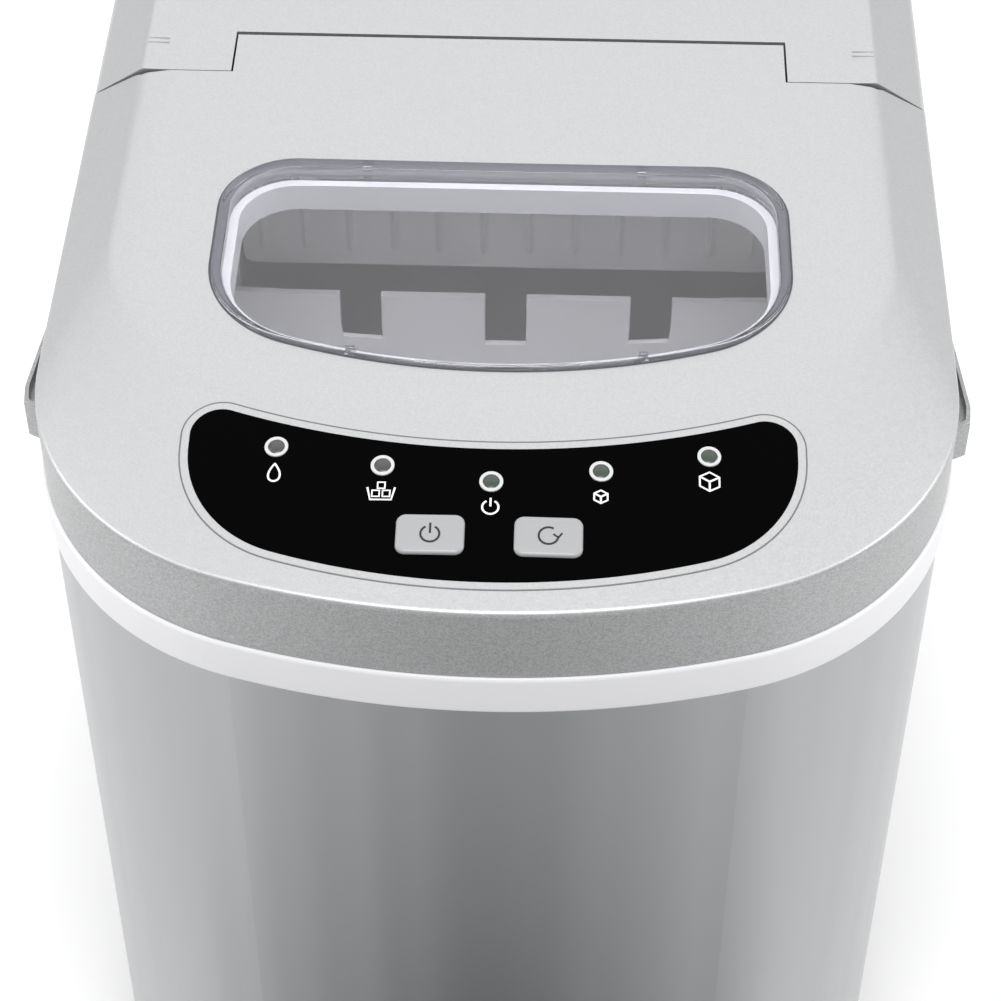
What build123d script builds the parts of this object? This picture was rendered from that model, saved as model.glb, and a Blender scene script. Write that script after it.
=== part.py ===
"""Countertop ice maker: a bow-fronted cabinet with a hinged top that carries the window and the controls.

Frame: millimetres, +Z up, -Y is the front, origin on the floor at the centre of the outside box.
The chamber is in front, with the ice basket over the water, and the machine compartment is behind it.
"""

from build123d import *
import math
import os

# ---- driving dimensions ----
WIDTH = 240.0
DEPTH = 358.0
HEIGHT = 328.0
FRONT_Y = -DEPTH / 2
REAR_Y = DEPTH / 2

# outline of the cabinet: (half width, front y, bow radius, bow half width, rear y, rear corner radius)
BODY = (WIDTH / 2, FRONT_Y, 229.6, 65.3, REAR_Y, 20.0)
# outline of the raised crown on the top
CROWN = (104.4, -121.8, 190.0, 66.0, 164.0, 16.0)
# outline of the window in the lid
WINDOW = (76.5, -104.1, 172.6, 55.0, -22.8, 20.0)
# inside of the water tank
TANK = (97.0, -160.0, 215.0, 60.0, 76.0, 10.0)
# outside of the ice basket
BASKET = (90.0, -150.0, 210.0, 56.0, -4.0, 8.0)

FOOT_HEIGHT = 8.0
PLINTH_TOP = 22.0
SHELL_TOP = 280.8
BAND_TOP = 293.3
CREASE_Z = 316.5
PLATEAU_Z = 326.0
LID_EDGE_Z = 325.3
SHELL_INSET = 1.0
SHEET = 1.0
SKIRT_INSET = 0.9
WALL = 2.5
LID_GAP = 0.3

# lid seam and hinge
SEAM_Y = 16.2
TAB_HALF = 78.4
TAB_REAR = 33.0
NOTCH_REAR = 34.4
NOTCH_GAP = 0.6
HINGE_Y = 20.2
HINGE_Z = 320.5
HINGE_PIN_R = 1.75
LID_ROLL = 8.0
RIDGE_ROLL = 6.0

# control panel
PANEL_HALF = 75.9
PANEL_FRONT = -169.0
PANEL_REAR_MID = -130.1
PANEL_REAR_R = 195.0
PANEL_TIP_R = 7.5
PANEL_BORDER = 1.9
LED_POINTS = [(-53.75, -130.1), (-27.0, -135.7), (0.0, -140.0), (27.0, -136.0), (53.75, -130.1)]
LED_R = 2.05
LED_RING_R = 3.0
BUTTON_X = 14.4
BUTTON_Y = -155.9
BUTTON_SIZE = (16.8, 11.2)
BUTTON_CORNER = 2.4
BUTTON_GAP = 0.3

# ice making group
SHOVEL_Y = 11.0
SHOVEL_Z = 296.0
SHOVEL_HALF = 80.0
SHOVEL_BOTTOM = 258.0
SHOVEL_RIBS = 12
RIB_PITCH = 13.33
TRAY_Y = 20.0
TRAY_Z = 266.0
TRAY_HALF = 77.0
TRAY_FLOOR = 246.0
TRAY_TOP = 270.0
TRAY_FRONT = 17.0
TRAY_REAR = 73.0
AXLE_R = 3.0
CRANK = 8.5
BRACKET_X = (81.0, 84.0)
FINGERS = [(x, 37.0) for x in (-60, -30, 0, 30, 60)] + [(x, 60.0) for x in (-45, -15, 15, 45)]
FINGER_R = 4.5
FINGER_TIP = 252.0
EVAPORATOR_Z = (286.0, 294.0)
TUBE_Z = 297.2
TUBE_R = 3.0

# chamber
TANK_FLOOR = 72.0
TANK_TOP = 290.8
FOAM = 8.0
BASKET_FLOOR = 160.0
BASKET_TOP = 260.0
BASKET_WALL = 2.2
NOTCH_FLOOR = 241.0
NOTCH_WIDTH = 12.3
NOTCH_PITCH = 43.0

# machine compartment
COMPRESSOR = (-45.0, 134.0)
FAN_Y = 128.0
FAN_Z = 100.0
FAN_R = 31.0
INLET = (75.0, 205.0)
DRAIN = (-60.0, 80.0)
DRAIN_BORE = 5.0
PUMP = (50.0, 42.0)
FLOAT = (-58.0, 42.0)


# ---- drawing helpers ----
def block(x, y, z):
    """Box between the low and high values of x, y and z, each a pair."""
    size = [b - a for a, b in (x, y, z)]
    return Pos(*[(a + b) / 2 for a, b in (x, y, z)]) * Box(*size)


def rod_x(x, y, z, radius):
    """Cylinder along X between the two values of x, centred on y and z."""
    length = x[1] - x[0]
    return Pos((x[0] + x[1]) / 2, y, z) * Rot(0, 90, 0) * Cylinder(radius, length)


def rod_y(x, y, z, radius):
    """Cylinder along Y between the two values of y."""
    length = y[1] - y[0]
    return Pos(x, (y[0] + y[1]) / 2, z) * Rot(90, 0, 0) * Cylinder(radius, length)


def rod_z(x, y, z, radius):
    """Cylinder along Z between the two values of z."""
    return Pos(x, y, (z[0] + z[1]) / 2) * Cylinder(radius, z[1] - z[0])


def arc(centre, radius, start, end):
    """Circular edge about centre from the start angle to the end angle, in degrees."""
    angles = [math.radians(a) for a in (start, (start + end) / 2, end)]
    points = [(centre[0] + radius * math.cos(a), centre[1] + radius * math.sin(a)) for a in angles]
    return ThreePointArc(*points)


def bowed(outline, inset=0.0):
    """Bow-fronted outline as a face: a shallow front arc that runs into two corner arcs and straight sides."""
    half, front, bow_r, bow_half, rear, rear_r = outline
    lean = math.degrees(math.asin(bow_half / bow_r))
    corner_r = (half - bow_half) / (1 - bow_half / bow_r)
    bow_y = front + bow_r
    corner = (half - corner_r, bow_y - (bow_r - corner_r) * math.cos(math.radians(lean)))
    tail_r = max(rear_r - inset, 0.5)
    side = half - inset
    back = rear - inset
    tail = (side - tail_r, back - tail_r)
    edges = [
        Line((-side, tail[1]), (-side, corner[1])),
        arc((-corner[0], corner[1]), corner_r - inset, 180, 270 - lean),
        arc((0, bow_y), bow_r - inset, 270 - lean, 270 + lean),
        arc(corner, corner_r - inset, 270 + lean, 360),
        Line((side, corner[1]), (side, tail[1])),
        arc(tail, tail_r, 0, 90),
        Line((tail[0], back), (-tail[0], back)),
        arc((-tail[0], tail[1]), tail_r, 90, 180),
    ]
    return make_face(edges)


def prism(face, z0, z1):
    """Upright solid on a plan face between two heights."""
    return extrude(Pos(0, 0, z0) * face, amount=z1 - z0, dir=(0, 0, 1))


def ring(outline, outer, inner, z0, z1):
    """Wall between two insets of one outline."""
    return prism(bowed(outline, outer), z0, z1) - prism(bowed(outline, inner), z0 - 1, z1 + 1)


def slope(low_face, low_z, high_face, high_z):
    """Straight-sided solid between two outlines at two heights."""
    return loft([Pos(0, 0, low_z) * low_face, Pos(0, 0, high_z) * high_face], ruled=True)


def spun_x(profile, y, z):
    """Solid of revolution about the X direction at y and z, from (x, radius) corners."""
    corners = [(profile[0][0], 0)] + profile + [(profile[-1][0], 0)]
    return Pos(0, y, z) * revolve(make_face(Polyline(*corners, close=True)), Axis.X)


def spun_z(profile, x, y):
    """Solid of revolution about the vertical at x and y, from (radius, z) corners."""
    corners = [(0, profile[0][1])] + profile + [(0, profile[-1][1])]
    face = Plane.XZ * make_face(Polyline(*corners, close=True))
    return Pos(x, y, 0) * revolve(face, Axis.Z)


def tube(points, radius, bend, bore=0.0):
    """Round pipe along straight runs joined by bends of one radius."""
    path = FilletPolyline(*points, radius=bend)
    section = Circle(radius) - Circle(bore) if bore else Circle(radius)
    return sweep(Plane(origin=path @ 0, z_dir=path % 0) * section, path=path)


def rounded_bar(x, y, z, size, height, corner):
    """Upright bar with rounded corners: plan size, height and corner radius."""
    return prism(Pos(x, y) * RectangleRounded(size[0], size[1], corner), z, z + height)


def mirror_x(shape):
    return mirror(shape, about=Plane.YZ)


# ---- top surface ----
def cap(edge_z, roll, shrink=0.0, lift=0.0):
    """Block under the top surface, as used by lid and rear cover, drawn in by shrink and raised by lift.

    A straight skirt, a sloped shoulder up to the crown line, and a gentle roll to the plateau.
    """
    crease = CREASE_Z - shrink * 0.6 + lift
    edge = edge_z - shrink + lift
    flat = PLATEAU_Z - shrink + lift
    base = bowed(BODY, SKIRT_INSET + shrink)
    crown = bowed(CROWN, shrink)
    body = prism(base, BAND_TOP - 2, crease) + slope(base, crease, crown, edge)
    plateau = bowed(CROWN, shrink + roll)
    if edge < flat:
        return body + slope(crown, edge, plateau, flat)
    return body - slope(plateau, flat, crown, edge) if edge > flat else body


def lid_block(shrink=0.0, lift=0.0):
    return cap(LID_EDGE_Z, LID_ROLL, shrink, lift)


def cover_block(shrink=0.0):
    return cap(HEIGHT, RIDGE_ROLL, shrink)


def hinge_sweep():
    """Space about the hinge line that the ears of the rear cover need while the lid turns."""
    reach = SEAM_Y - HINGE_Y
    low = math.hypot(reach, PLATEAU_Z - HINGE_Z) + 0.12
    high = math.hypot(reach, HEIGHT - HINGE_Z) + 0.15
    small = abs(reach) + 0.12
    inner = CROWN[0] - RIDGE_ROLL
    profile = [(TAB_HALF, low), (inner - 0.5, low), (CROWN[0] - 0.6, high), (CROWN[0] + 0.6, high)]
    profile += [(115.5, small), (WIDTH / 2 + 4, small)]
    right = spun_x(profile, HINGE_Y, HINGE_Z)
    return right + mirror_x(right)


# ---- cabinet ----
def make_base_pan():
    tray = prism(bowed(BODY, 1.5), FOOT_HEIGHT, PLINTH_TOP) + ring(BODY, 2.3, 5.0, PLINTH_TOP - 1, 36)
    tray -= prism(bowed(BODY, 5.0), FOOT_HEIGHT + 3, PLINTH_TOP + 1)
    for x, y in foot_points():
        tray -= rod_z(x, y, (FOOT_HEIGHT - 1, FOOT_HEIGHT + 4), 4.6)
    for x, y in grommet_points():
        tray += rod_z(x, y, (FOOT_HEIGHT + 1, 26), 9)
        tray -= rod_z(x, y, (20, 27), 4.1)
    for x in (-60, 0, 60):
        tray += block((x - 1.25, x + 1.25), (-150, 60), (FOOT_HEIGHT + 2, 20))
    return tray


def foot_points():
    return [(-78, -122), (78, -122), (-100, 150), (100, 150)]


def make_foot(x, y):
    """Rubber foot with a neck through the pan floor and a retaining head."""
    z = FOOT_HEIGHT
    profile = [(10, 0), (12, 1.5), (11, z), (4.5, z), (4.5, z + 3), (6.5, z + 3), (5.5, z + 6)]
    return spun_z(profile, x, y)


def louvres(x, y0, y1, z0, z1, columns, length, height=3.2, pitch=9.0):
    """Cutters for rows of round-ended slots through a side wall at x."""
    cutters = []
    rows = int((z1 - z0) / pitch) + 1
    step = (y1 - y0) / columns
    slot = Plane.YZ * SlotOverall(length, height)
    for column in range(columns):
        for row in range(rows):
            place = Pos(x, y0 + step * (column + 0.5), z0 + row * pitch)
            cutters.append(place * extrude(slot, amount=6, both=True))
    return cutters


def make_wrap_shell():
    shell = ring(BODY, SHELL_INSET, SHELL_INSET + SHEET, PLINTH_TOP + 0.2, SHELL_TOP)
    shell -= block((-130, 130), (166, 200), (0, 300))
    for x in (-WIDTH / 2, WIDTH / 2):
        shell -= louvres(x, 98, 162, 50, 158, 2, 27)
    return shell - rod_x((100, 130), *DRAIN, 7.3)


def make_rear_panel():
    wall = ring(BODY, SHELL_INSET, SHELL_INSET + 1.2, PLINTH_TOP + 0.2, SHELL_TOP)
    tongue = ring(BODY, SHELL_INSET + 1.2, SHELL_INSET + 3.4, 38, 270)
    panel = wall & block((-130, 130), (166.3, 200), (0, 300))
    panel += tongue & block((-130, 130), (157, 170), (0, 300))
    slots = []
    for row in range(14):
        for x in (-62, -22, 18):
            slot = Plane.XZ * SlotOverall(32, 3.2)
            slots.append(Pos(x, REAR_Y, 92 + 9 * row) * extrude(slot, amount=8, both=True))
    panel -= slots
    for x, z in rear_screw_points():
        panel += rod_y(x, (171.5, 177.9), z, 6)
        panel -= rod_y(x, (176.2, 180), z, 4.1)
        panel -= rod_y(x, (160, 178), z, 1.75)
    x, z = INLET
    return panel - block((x - 13.8, x + 13.8), (170, 181), (z - 10.8, z + 10.8))


def rear_screw_points():
    return [(x, z) for x in (-96, 96) for z in (50, 150, 255)]


def cover_screw_points():
    return [(-84, 303), (84, 303)]


def make_screw(x, y, z, length):
    """Pan-head screw along Y with a cross recess, its head outward."""
    screw = rod_y(x, (y - 1.5, y), z, 3.7) + rod_y(x, (y - length, y - 1.2), z, 1.7)
    return screw - block((x - 2, x + 2), (y - 0.8, y + 1), (z - 0.4, z + 0.4))


def make_screws():
    screws = [make_screw(x, 177.8, z, 14) for x, z in rear_screw_points()]
    return screws + [make_screw(x, 177.7, z, 12) for x, z in cover_screw_points()]


def make_rim_frame():
    """Light band round the cabinet: outer wall, tongue inside the sheet, and a deck with the chamber opening."""
    frame = ring(BODY, 0, 2.6, SHELL_TOP, BAND_TOP) + ring(BODY, 2.3, 4.4, 272, BAND_TOP)
    deck = prism(bowed(BODY, 2), BAND_TOP - 2.5, BAND_TOP) - prism(bowed(TANK, 2), 280, 300)
    frame += deck
    frame += ring(TANK, 0.4, 2.0, BAND_TOP - 1, BAND_TOP + 2.2) & block((-130, 130), (-200, 12), (280, 300))
    for x in (-60, 60):
        frame -= rod_z(x, 103, (285, 300), 5.2)
    return frame


def make_rear_cover():
    """Fixed rear top: two ears beside the lid's tab, and a trough below the tab."""
    behind = block((-130, 130), (SEAM_Y, 200), (BAND_TOP + 0.2, 340))
    cover = (cover_block() - cover_block(WALL)) & behind
    ears = block((TAB_HALF + NOTCH_GAP, 130), (SEAM_Y, SEAM_Y + WALL), (BAND_TOP + 0.2, 340))
    cheek = block((TAB_HALF + NOTCH_GAP, TAB_HALF + 3.1), (SEAM_Y, NOTCH_REAR + 2), (304, 340))
    solid = cover_block()
    cover += (ears + mirror_x(ears) + cheek + mirror_x(cheek)) & solid
    half = TAB_HALF + NOTCH_GAP
    notch = block((-half, half), (SEAM_Y - 1, NOTCH_REAR), (BAND_TOP, 340))
    cover -= notch
    cover += block((-half, half), (NOTCH_REAR, NOTCH_REAR + 2), (HINGE_Z - 1, 325)) & solid
    inner = NOTCH_REAR - HINGE_Y
    trough = rod_x((-half - 1, half + 1), HINGE_Y, HINGE_Z, inner + 1.8)
    trough -= rod_x((-half - 2, half + 2), HINGE_Y, HINGE_Z, inner)
    cover += trough & block((-half - 1, half + 1), (HINGE_Y - 2, 60), (290, HINGE_Z))
    bore = rod_x((-half - 6, half + 6), HINGE_Y, HINGE_Z, HINGE_PIN_R)
    cover -= bore
    for x, z in cover_screw_points():
        cover += rod_y(x, (171, 177.9), z, 5.5)
        cover -= rod_y(x, (176.1, 180), z, 4.1)
        cover -= rod_y(x, (165, 178), z, 1.75)
    for side in (-1, 1):
        cover -= arrow_mark(side * 101.0, 29.5)
    return cover


def arrow_mark(x, y):
    """Shallow engraved triangle over a bar, the usual sign for lifting a cover."""
    top = HEIGHT + 1
    triangle = make_face(Polyline((x - 3, y), (x + 3, y), (x, y + 2.6), close=True))
    return prism(triangle, PLATEAU_Z - 0.4, top) + block((x - 3, x + 3), (y - 2, y - 1.2), (PLATEAU_Z - 0.4, top))


def make_hinge_pin(side):
    """Steel pin pressed into the ear's cheek and standing in the lid's boss."""
    inner = TAB_HALF - 9
    pin = rod_x((inner, TAB_HALF + 3.0), HINGE_Y, HINGE_Z, HINGE_PIN_R)
    return pin if side > 0 else mirror_x(pin)


# ---- lid ----
def lid_front(z0=280, z1=345):
    """Everything in front of the seam, with the tab between the ears."""
    front = block((-130, 130), (-200, SEAM_Y - LID_GAP), (z0, z1))
    tab = block((-TAB_HALF, TAB_HALF), (SEAM_Y - 1, TAB_REAR), (PLATEAU_Z - 6, z1))
    return front + tab


def make_lid_shell():
    """Moulded top with skirt, window opening, panel openings, hinge bosses and side grips."""
    floor = block((-130, 130), (-200, 60), (BAND_TOP + 0.2, 340))
    shell = (lid_block() - lid_block(WALL)) & lid_front() & floor
    shell -= prism(bowed(WINDOW, -0.25), 290, 340)
    collar = ring(WINDOW, -2.2, -0.25, PLATEAU_Z - 7.5, PLATEAU_Z - 1)
    shell += collar
    for x, y in LED_POINTS:
        shell -= rod_z(x, y, (290, 340), LED_RING_R + 0.1)
    for side in (-1, 1):
        shell -= button_prism(side, BUTTON_GAP, 290, 340)
    shell -= prism(panel_face(PANEL_BORDER + 0.25), 300, 340) & (lid_block(0, 1) - lid_block(0, -0.8))
    shell -= hinge_sweep()
    boss = rod_x((TAB_HALF - 10, TAB_HALF - 0.2), HINGE_Y, HINGE_Z, 4.2)
    shell += boss + mirror_x(boss)
    bore = rod_x((TAB_HALF - 12, TAB_HALF + 1), HINGE_Y, HINGE_Z, HINGE_PIN_R + 0.05)
    shell -= bore + mirror_x(bore)
    grip = side_grip()
    return shell + grip + mirror_x(grip)


def side_grip():
    """Finger lip on the lid's side: a wedge that flares outward to its front end, open underneath."""
    x = WIDTH / 2 - SKIRT_INSET
    outer = [(x - 1, -70), (x + 0.3, -70), (x + 3.4, -99), (x + 2.8, -105), (x - 1.2, -107)]
    inner = [(x - 0.1, -80), (x + 0.4, -80), (x + 2.2, -99), (x + 1.6, -104), (x - 0.3, -105)]
    lip, under = [make_face(Polyline(*corners, close=True)) for corners in (outer, inner)]
    return prism(lip, 300, 312) - prism(under, 299, 310.5)


def make_lid_window():
    """Smoked clear tub: a pane with a turned-down rim that sits in the lid's collar."""
    top = PLATEAU_Z + 1.2
    pane = prism(bowed(WINDOW), PLATEAU_Z - 6, top)
    pane -= prism(bowed(WINDOW, 2.4), PLATEAU_Z - 7, top - 2.4)
    return pane


def make_lid_liner():
    """White inner panel of the lid with a collar round the view opening."""
    z = PLATEAU_Z - 14.5
    plate = prism(bowed(CROWN, 5), z, z + 2) & block((-120, 120), (-200, 8), (290, 330))
    plate += ring(WINDOW, 2.9, 4.9, z, PLATEAU_Z - 7.6) + ring(WINDOW, -3.5, 4.9, PLATEAU_Z - 8.6, PLATEAU_Z - 7.6)
    plate += ring(WINDOW, 0.2, 4.9, PLATEAU_Z - 8.6, PLATEAU_Z - 6)
    plate -= prism(bowed(WINDOW, 4.9), 290, 330)
    for x, y in ((-92, -60), (92, -60), (-92, 0), (92, 0)):
        plate += rod_z(x, y, (z + 1, PLATEAU_Z - WALL - 0.8), 3)
    return plate


def panel_face(border=0.0):
    """Crescent outline of the printed panel, grown by a border."""
    lower = bowed((PANEL_HALF, PANEL_FRONT, 176.8, 52.9, -100.0, 5.0))
    bite = Pos(0, PANEL_REAR_MID + PANEL_REAR_R) * Circle(PANEL_REAR_R)
    face = lower - bite
    face = face & Pos(0, -150) * Rectangle(2 * PANEL_HALF, 100)
    tips = [v for v in face.vertices() if v.Y > -123 and abs(v.X) > 60]
    face = fillet(tips, PANEL_TIP_R)
    return offset(face, amount=border) if border else face


def button_prism(side, grow, z0, z1):
    size = (BUTTON_SIZE[0] + 2 * grow, BUTTON_SIZE[1] + 2 * grow)
    return rounded_bar(side * BUTTON_X, BUTTON_Y, z0, size, z1 - z0, BUTTON_CORNER + grow)


def surface_layer(low, high):
    """Thin layer that follows the lid's top surface between two offsets from it."""
    return lid_block(0, high) - lid_block(0, low)


def panel_holes(led_r, button_grow):
    holes = [rod_z(x, y, (300, 340), led_r) for x, y in LED_POINTS]
    return holes + [button_prism(side, button_grow, 300, 340) for side in (-1, 1)]


def make_control_bezel():
    """Silver backing of the panel, whose edge shows as a border round the black print."""
    bezel = prism(panel_face(PANEL_BORDER), 300, 340) & surface_layer(-0.75, 0.05)
    bezel -= prism(panel_face(0.05), 300, 340) & surface_layer(-0.3, 1)
    return bezel - panel_holes(LED_RING_R + 0.05, BUTTON_GAP)


def make_control_overlay():
    overlay = prism(panel_face(), 300, 340) & surface_layer(-0.25, 0.2)
    return overlay - panel_holes(LED_RING_R + 0.05, BUTTON_GAP)


def bow_y(outline, x, inset=0.0):
    """Front y of an outline's bow at x."""
    radius = outline[2] - inset
    return outline[1] + outline[2] - math.sqrt(radius * radius - x * x)


def surface_z(x, y):
    """Height of the lid's sloped front at x and y, between the crown line and the crease."""
    start = bow_y(CROWN, x)
    end = bow_y(BODY, x, SKIRT_INSET)
    return LID_EDGE_Z + (CREASE_Z - LID_EDGE_Z) * (y - start) / (end - start)


def make_led_rings():
    rings = []
    for x, y in LED_POINTS:
        z = surface_z(x, y)
        rings.append(rod_z(x, y, (z - 4, z + 0.45), LED_RING_R) - rod_z(x, y, (z - 5, z + 1), LED_R + 0.05))
    return rings


def make_led_lenses():
    return [rod_z(x, y, (surface_z(x, y) - 6, surface_z(x, y) - 0.1), LED_R) for x, y in LED_POINTS]


def make_button(side):
    """Key cap with a skirt below the surface and a raised crown."""
    z = surface_z(BUTTON_X, BUTTON_Y)
    cap_part = button_prism(side, 0, z - 7.5, z + 0.9)
    crown = button_prism(side, -1.2, z, z + 1.5)
    stem = rod_z(side * BUTTON_X, BUTTON_Y, (z - 9, z - 7), 2)
    return cap_part + crown + stem


def make_panel_board():
    """Circuit board under the panel with five lamps and two tact switches."""
    top = surface_z(BUTTON_X, BUTTON_Y) - 12
    board = block((-56, 56), (-160, -128), (top - 1.6, top))
    parts = board
    for side in (-1, 1):
        x = side * BUTTON_X
        parts += block((x - 3, x + 3), (BUTTON_Y - 3, BUTTON_Y + 3), (top, top + 1.6))
    for x, y in LED_POINTS:
        parts += rod_z(x, y, (top, surface_z(x, y) - 6.4), 1.5)
    parts += block((-10, 10), (-133, -129), (top, top + 4))
    return parts


def make_control_housing():
    """Back box that closes the panel's electronics inside the lid."""
    z = 300.5
    outer = prism(bowed((84, -172.5, 178, 56, -117.5, 4)), z, 314)
    inner = prism(bowed((84, -172.5, 178, 56, -117.5, 4), 1.8), z + 1.8, 320)
    box_part = (outer - inner) & lid_block(WALL + 0.3)
    for x in (-50, 50):
        box_part += rod_z(x, -146, (z + 1, surface_z(BUTTON_X, BUTTON_Y) - 13.7), 3)
    return box_part


# ---- chamber ----
def make_water_tank():
    tank = prism(bowed(TANK, -WALL), TANK_FLOOR - WALL, TANK_TOP) - prism(bowed(TANK), TANK_FLOOR, 300)
    tank += ring(TANK, -6, -WALL + 0.5, TANK_TOP - 2, TANK_TOP)
    ledge = block((93, 98.5), (-112, -24), (250, BASKET_TOP - 3.6))
    tank += ledge + mirror_x(ledge)
    tank -= rod_x((90, 105), *DRAIN, DRAIN_BORE + 2)
    return tank


def make_tank_insulation():
    foam = prism(bowed(TANK, -WALL - FOAM), TANK_FLOOR - WALL - 12, TANK_TOP - 3)
    foam -= prism(bowed(TANK, -WALL - 0.1), TANK_FLOOR - WALL - 0.1, 300)
    return foam - rod_x((90, 115), *DRAIN, DRAIN_BORE + 2.2)


def make_drain_spout():
    """Outlet pipe from the tank's lowest corner to the cabinet's side."""
    y, z = DRAIN
    spout = rod_x((TANK[0] + 0.2, 118.9), y, z, DRAIN_BORE + 2)
    spout += rod_x((TANK[0] + WALL + FOAM + 0.3, 117.6), y, z, DRAIN_BORE + 4)
    return spout - rod_x((90, 125), y, z, DRAIN_BORE)


def make_drain_cap():
    """Rubber bung with a pull tab."""
    y, z = DRAIN
    bung = rod_x((106, 119.2), y, z, DRAIN_BORE - 0.05) + rod_x((119.1, 121.6), y, z, 9.5)
    return bung + block((121.4, 122.4), (y - 2, y + 2), (z - 8, z + 8))


def make_ice_basket():
    """Lift-out basket: notched rear wall, slotted floor and walls, and a rim that hangs on the tank's ledges."""
    basket = prism(bowed(BASKET), BASKET_FLOOR, BASKET_TOP)
    basket -= prism(bowed(BASKET, BASKET_WALL), BASKET_FLOOR + BASKET_WALL, 300)
    rim = ring(BASKET, -4.6, 1, BASKET_TOP - 3.6, BASKET_TOP - 1.4)
    basket += rim & block((-100, 100), (-170, -22), (200, 300))
    cutters = []
    for k in (-1, 0, 1):
        x = k * NOTCH_PITCH
        cutters.append(block((x - NOTCH_WIDTH / 2, x + NOTCH_WIDTH / 2), (-10, 0), (NOTCH_FLOOR, 270)))
    for k in range(-3, 4):
        x = k * 22.0
        cutters.append(block((x - 5, x + 5), (-126, -76), (150, 170)))
        cutters.append(block((x - 5, x + 5), (-66, -16), (150, 170)))
    for y in range(-95, -20, 20):
        cutters.append(block((-100, 100), (y - 5, y + 5), (176, 236)))
    for k in range(-2, 3):
        cutters.append(block((k * 22.0 - 5, k * 22.0 + 5), (-170, -120), (176, 236)))
    return basket - cutters


def make_water_pump():
    """Submersible pump with a round body, inlet grille, impeller space and outlet stub."""
    x, y = PUMP
    z = TANK_FLOOR
    pump = rod_z(x, y, (z, z + 38), 17) + block((x - 19, x + 19), (y - 12, y + 12), (z, z + 4))
    pump -= rod_z(x, y, (z + 3, z + 13), 12)
    pump -= [block((x - 20, x + 20), (y + k * 5 - 1, y + k * 5 + 1), (z + 5, z + 11)) for k in (-1, 0, 1)]
    pump -= rod_z(x, y, (z + 12, z + 26), 2.05)
    return pump + rod_z(x, y, (z + 37, z + 48), 2.9)


def make_pump_impeller():
    x, y = PUMP
    z = TANK_FLOOR
    rotor = rod_z(x, y, (z + 4, z + 25), 2) + rod_z(x, y, (z + 4, z + 6), 10)
    vane = block((-9.5, 9.5), (-0.8, 0.8), (z + 5, z + 11))
    for turn in (0, 60, 120):
        rotor += Pos(x, y, 0) * Rot(0, 0, turn) * vane
    return rotor


def make_supply_hose():
    """Silicone hose from the pump, up beside the bracket and over to the tray."""
    x, y = PUMP
    z = TANK_FLOOR + 42
    points = [(x, y, z), (x, y, 138), (90.5, y + 10, 150), (90.5, 64, 281), (68, 64, 281), (68, 64, 272)]
    return tube(points, 4.2, 7, 3.0)


def make_float_stem():
    x, y = FLOAT
    z = TANK_FLOOR
    stem = rod_z(x, y, (z, z + 62), 3) + rod_z(x, y, (z, z + 3), 11)
    return stem + rod_z(x, y, (z + 60, z + 62), 6)


def make_water_float():
    x, y = FLOAT
    z = TANK_FLOOR + 12
    body = rod_z(x, y, (z, z + 16), 11)
    body = chamfer(body.edges().filter_by(GeomType.CIRCLE), 1.5)
    return body - rod_z(x, y, (z - 1, z + 17), 3.08)


# ---- ice making ----
def make_evaporator_plate():
    return block((-72, 72), (28, 70), EVAPORATOR_Z)


def make_cooling_fingers():
    """Nine plated fingers with round tips."""
    fingers = []
    for x, y in FINGERS:
        finger = rod_z(x, y, (FINGER_TIP + FINGER_R, EVAPORATOR_Z[0]), FINGER_R)
        fingers.append(finger + Pos(x, y, FINGER_TIP + FINGER_R) * Sphere(FINGER_R))
    return fingers


def make_evaporator_tube():
    z = TUBE_Z
    points = [(-60, 104, 284), (-60, 104, z), (-60, 40, z), (-20, 40, z), (-20, 62, z)]
    points += [(20, 62, z), (20, 40, z), (60, 40, z), (60, 104, z), (60, 104, 284)]
    return tube(points, TUBE_R, 8)


def make_evaporator_cover():
    """Hood over the cooling plate, standing on the side brackets."""
    hood = block((-85, 85), (25, 73.6), (280, 303)) - block((-82.5, 82.5), (27, 71.6), (270, 301))
    hood -= block((-82.5, 82.5), (20, 90), (270, 287))
    hood -= block((78, 90), (56, 72), (270, 291))
    for x in (-60, 60):
        hood -= block((x - 4, x + 4), (70, 90), (270, TUBE_Z + 4))
    for x in (-68, 68):
        for y in (32, 66):
            hood += rod_z(x, y, (EVAPORATOR_Z[1], 302), 3)
    return hood


def bracket_plate():
    """Side plate with the shovel's bearing above and the tray's bearing below."""
    corners = [(5, 252), (5, 302), (15.6, 302), (15.6, 291), (24, 280), (73, 280), (73, 268), (30, 252)]
    face = Plane.YZ * make_face(Polyline(*corners, close=True))
    plate = extrude(Pos(BRACKET_X[0], 0, 0) * face, amount=BRACKET_X[1] - BRACKET_X[0])
    plate += block((BRACKET_X[0], TANK[0]), (44, 56), (277.8, 280))
    plate -= rod_x((70, 97), SHOVEL_Y, SHOVEL_Z, AXLE_R + 0.05)
    return plate - rod_x((70, 97), TRAY_Y, TRAY_Z, AXLE_R + 0.05)


def make_bracket(side):
    plate = bracket_plate()
    if side > 0:
        return plate - rod_x((80, 86), 64, 281, 4.6)
    return mirror_x(plate)


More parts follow.
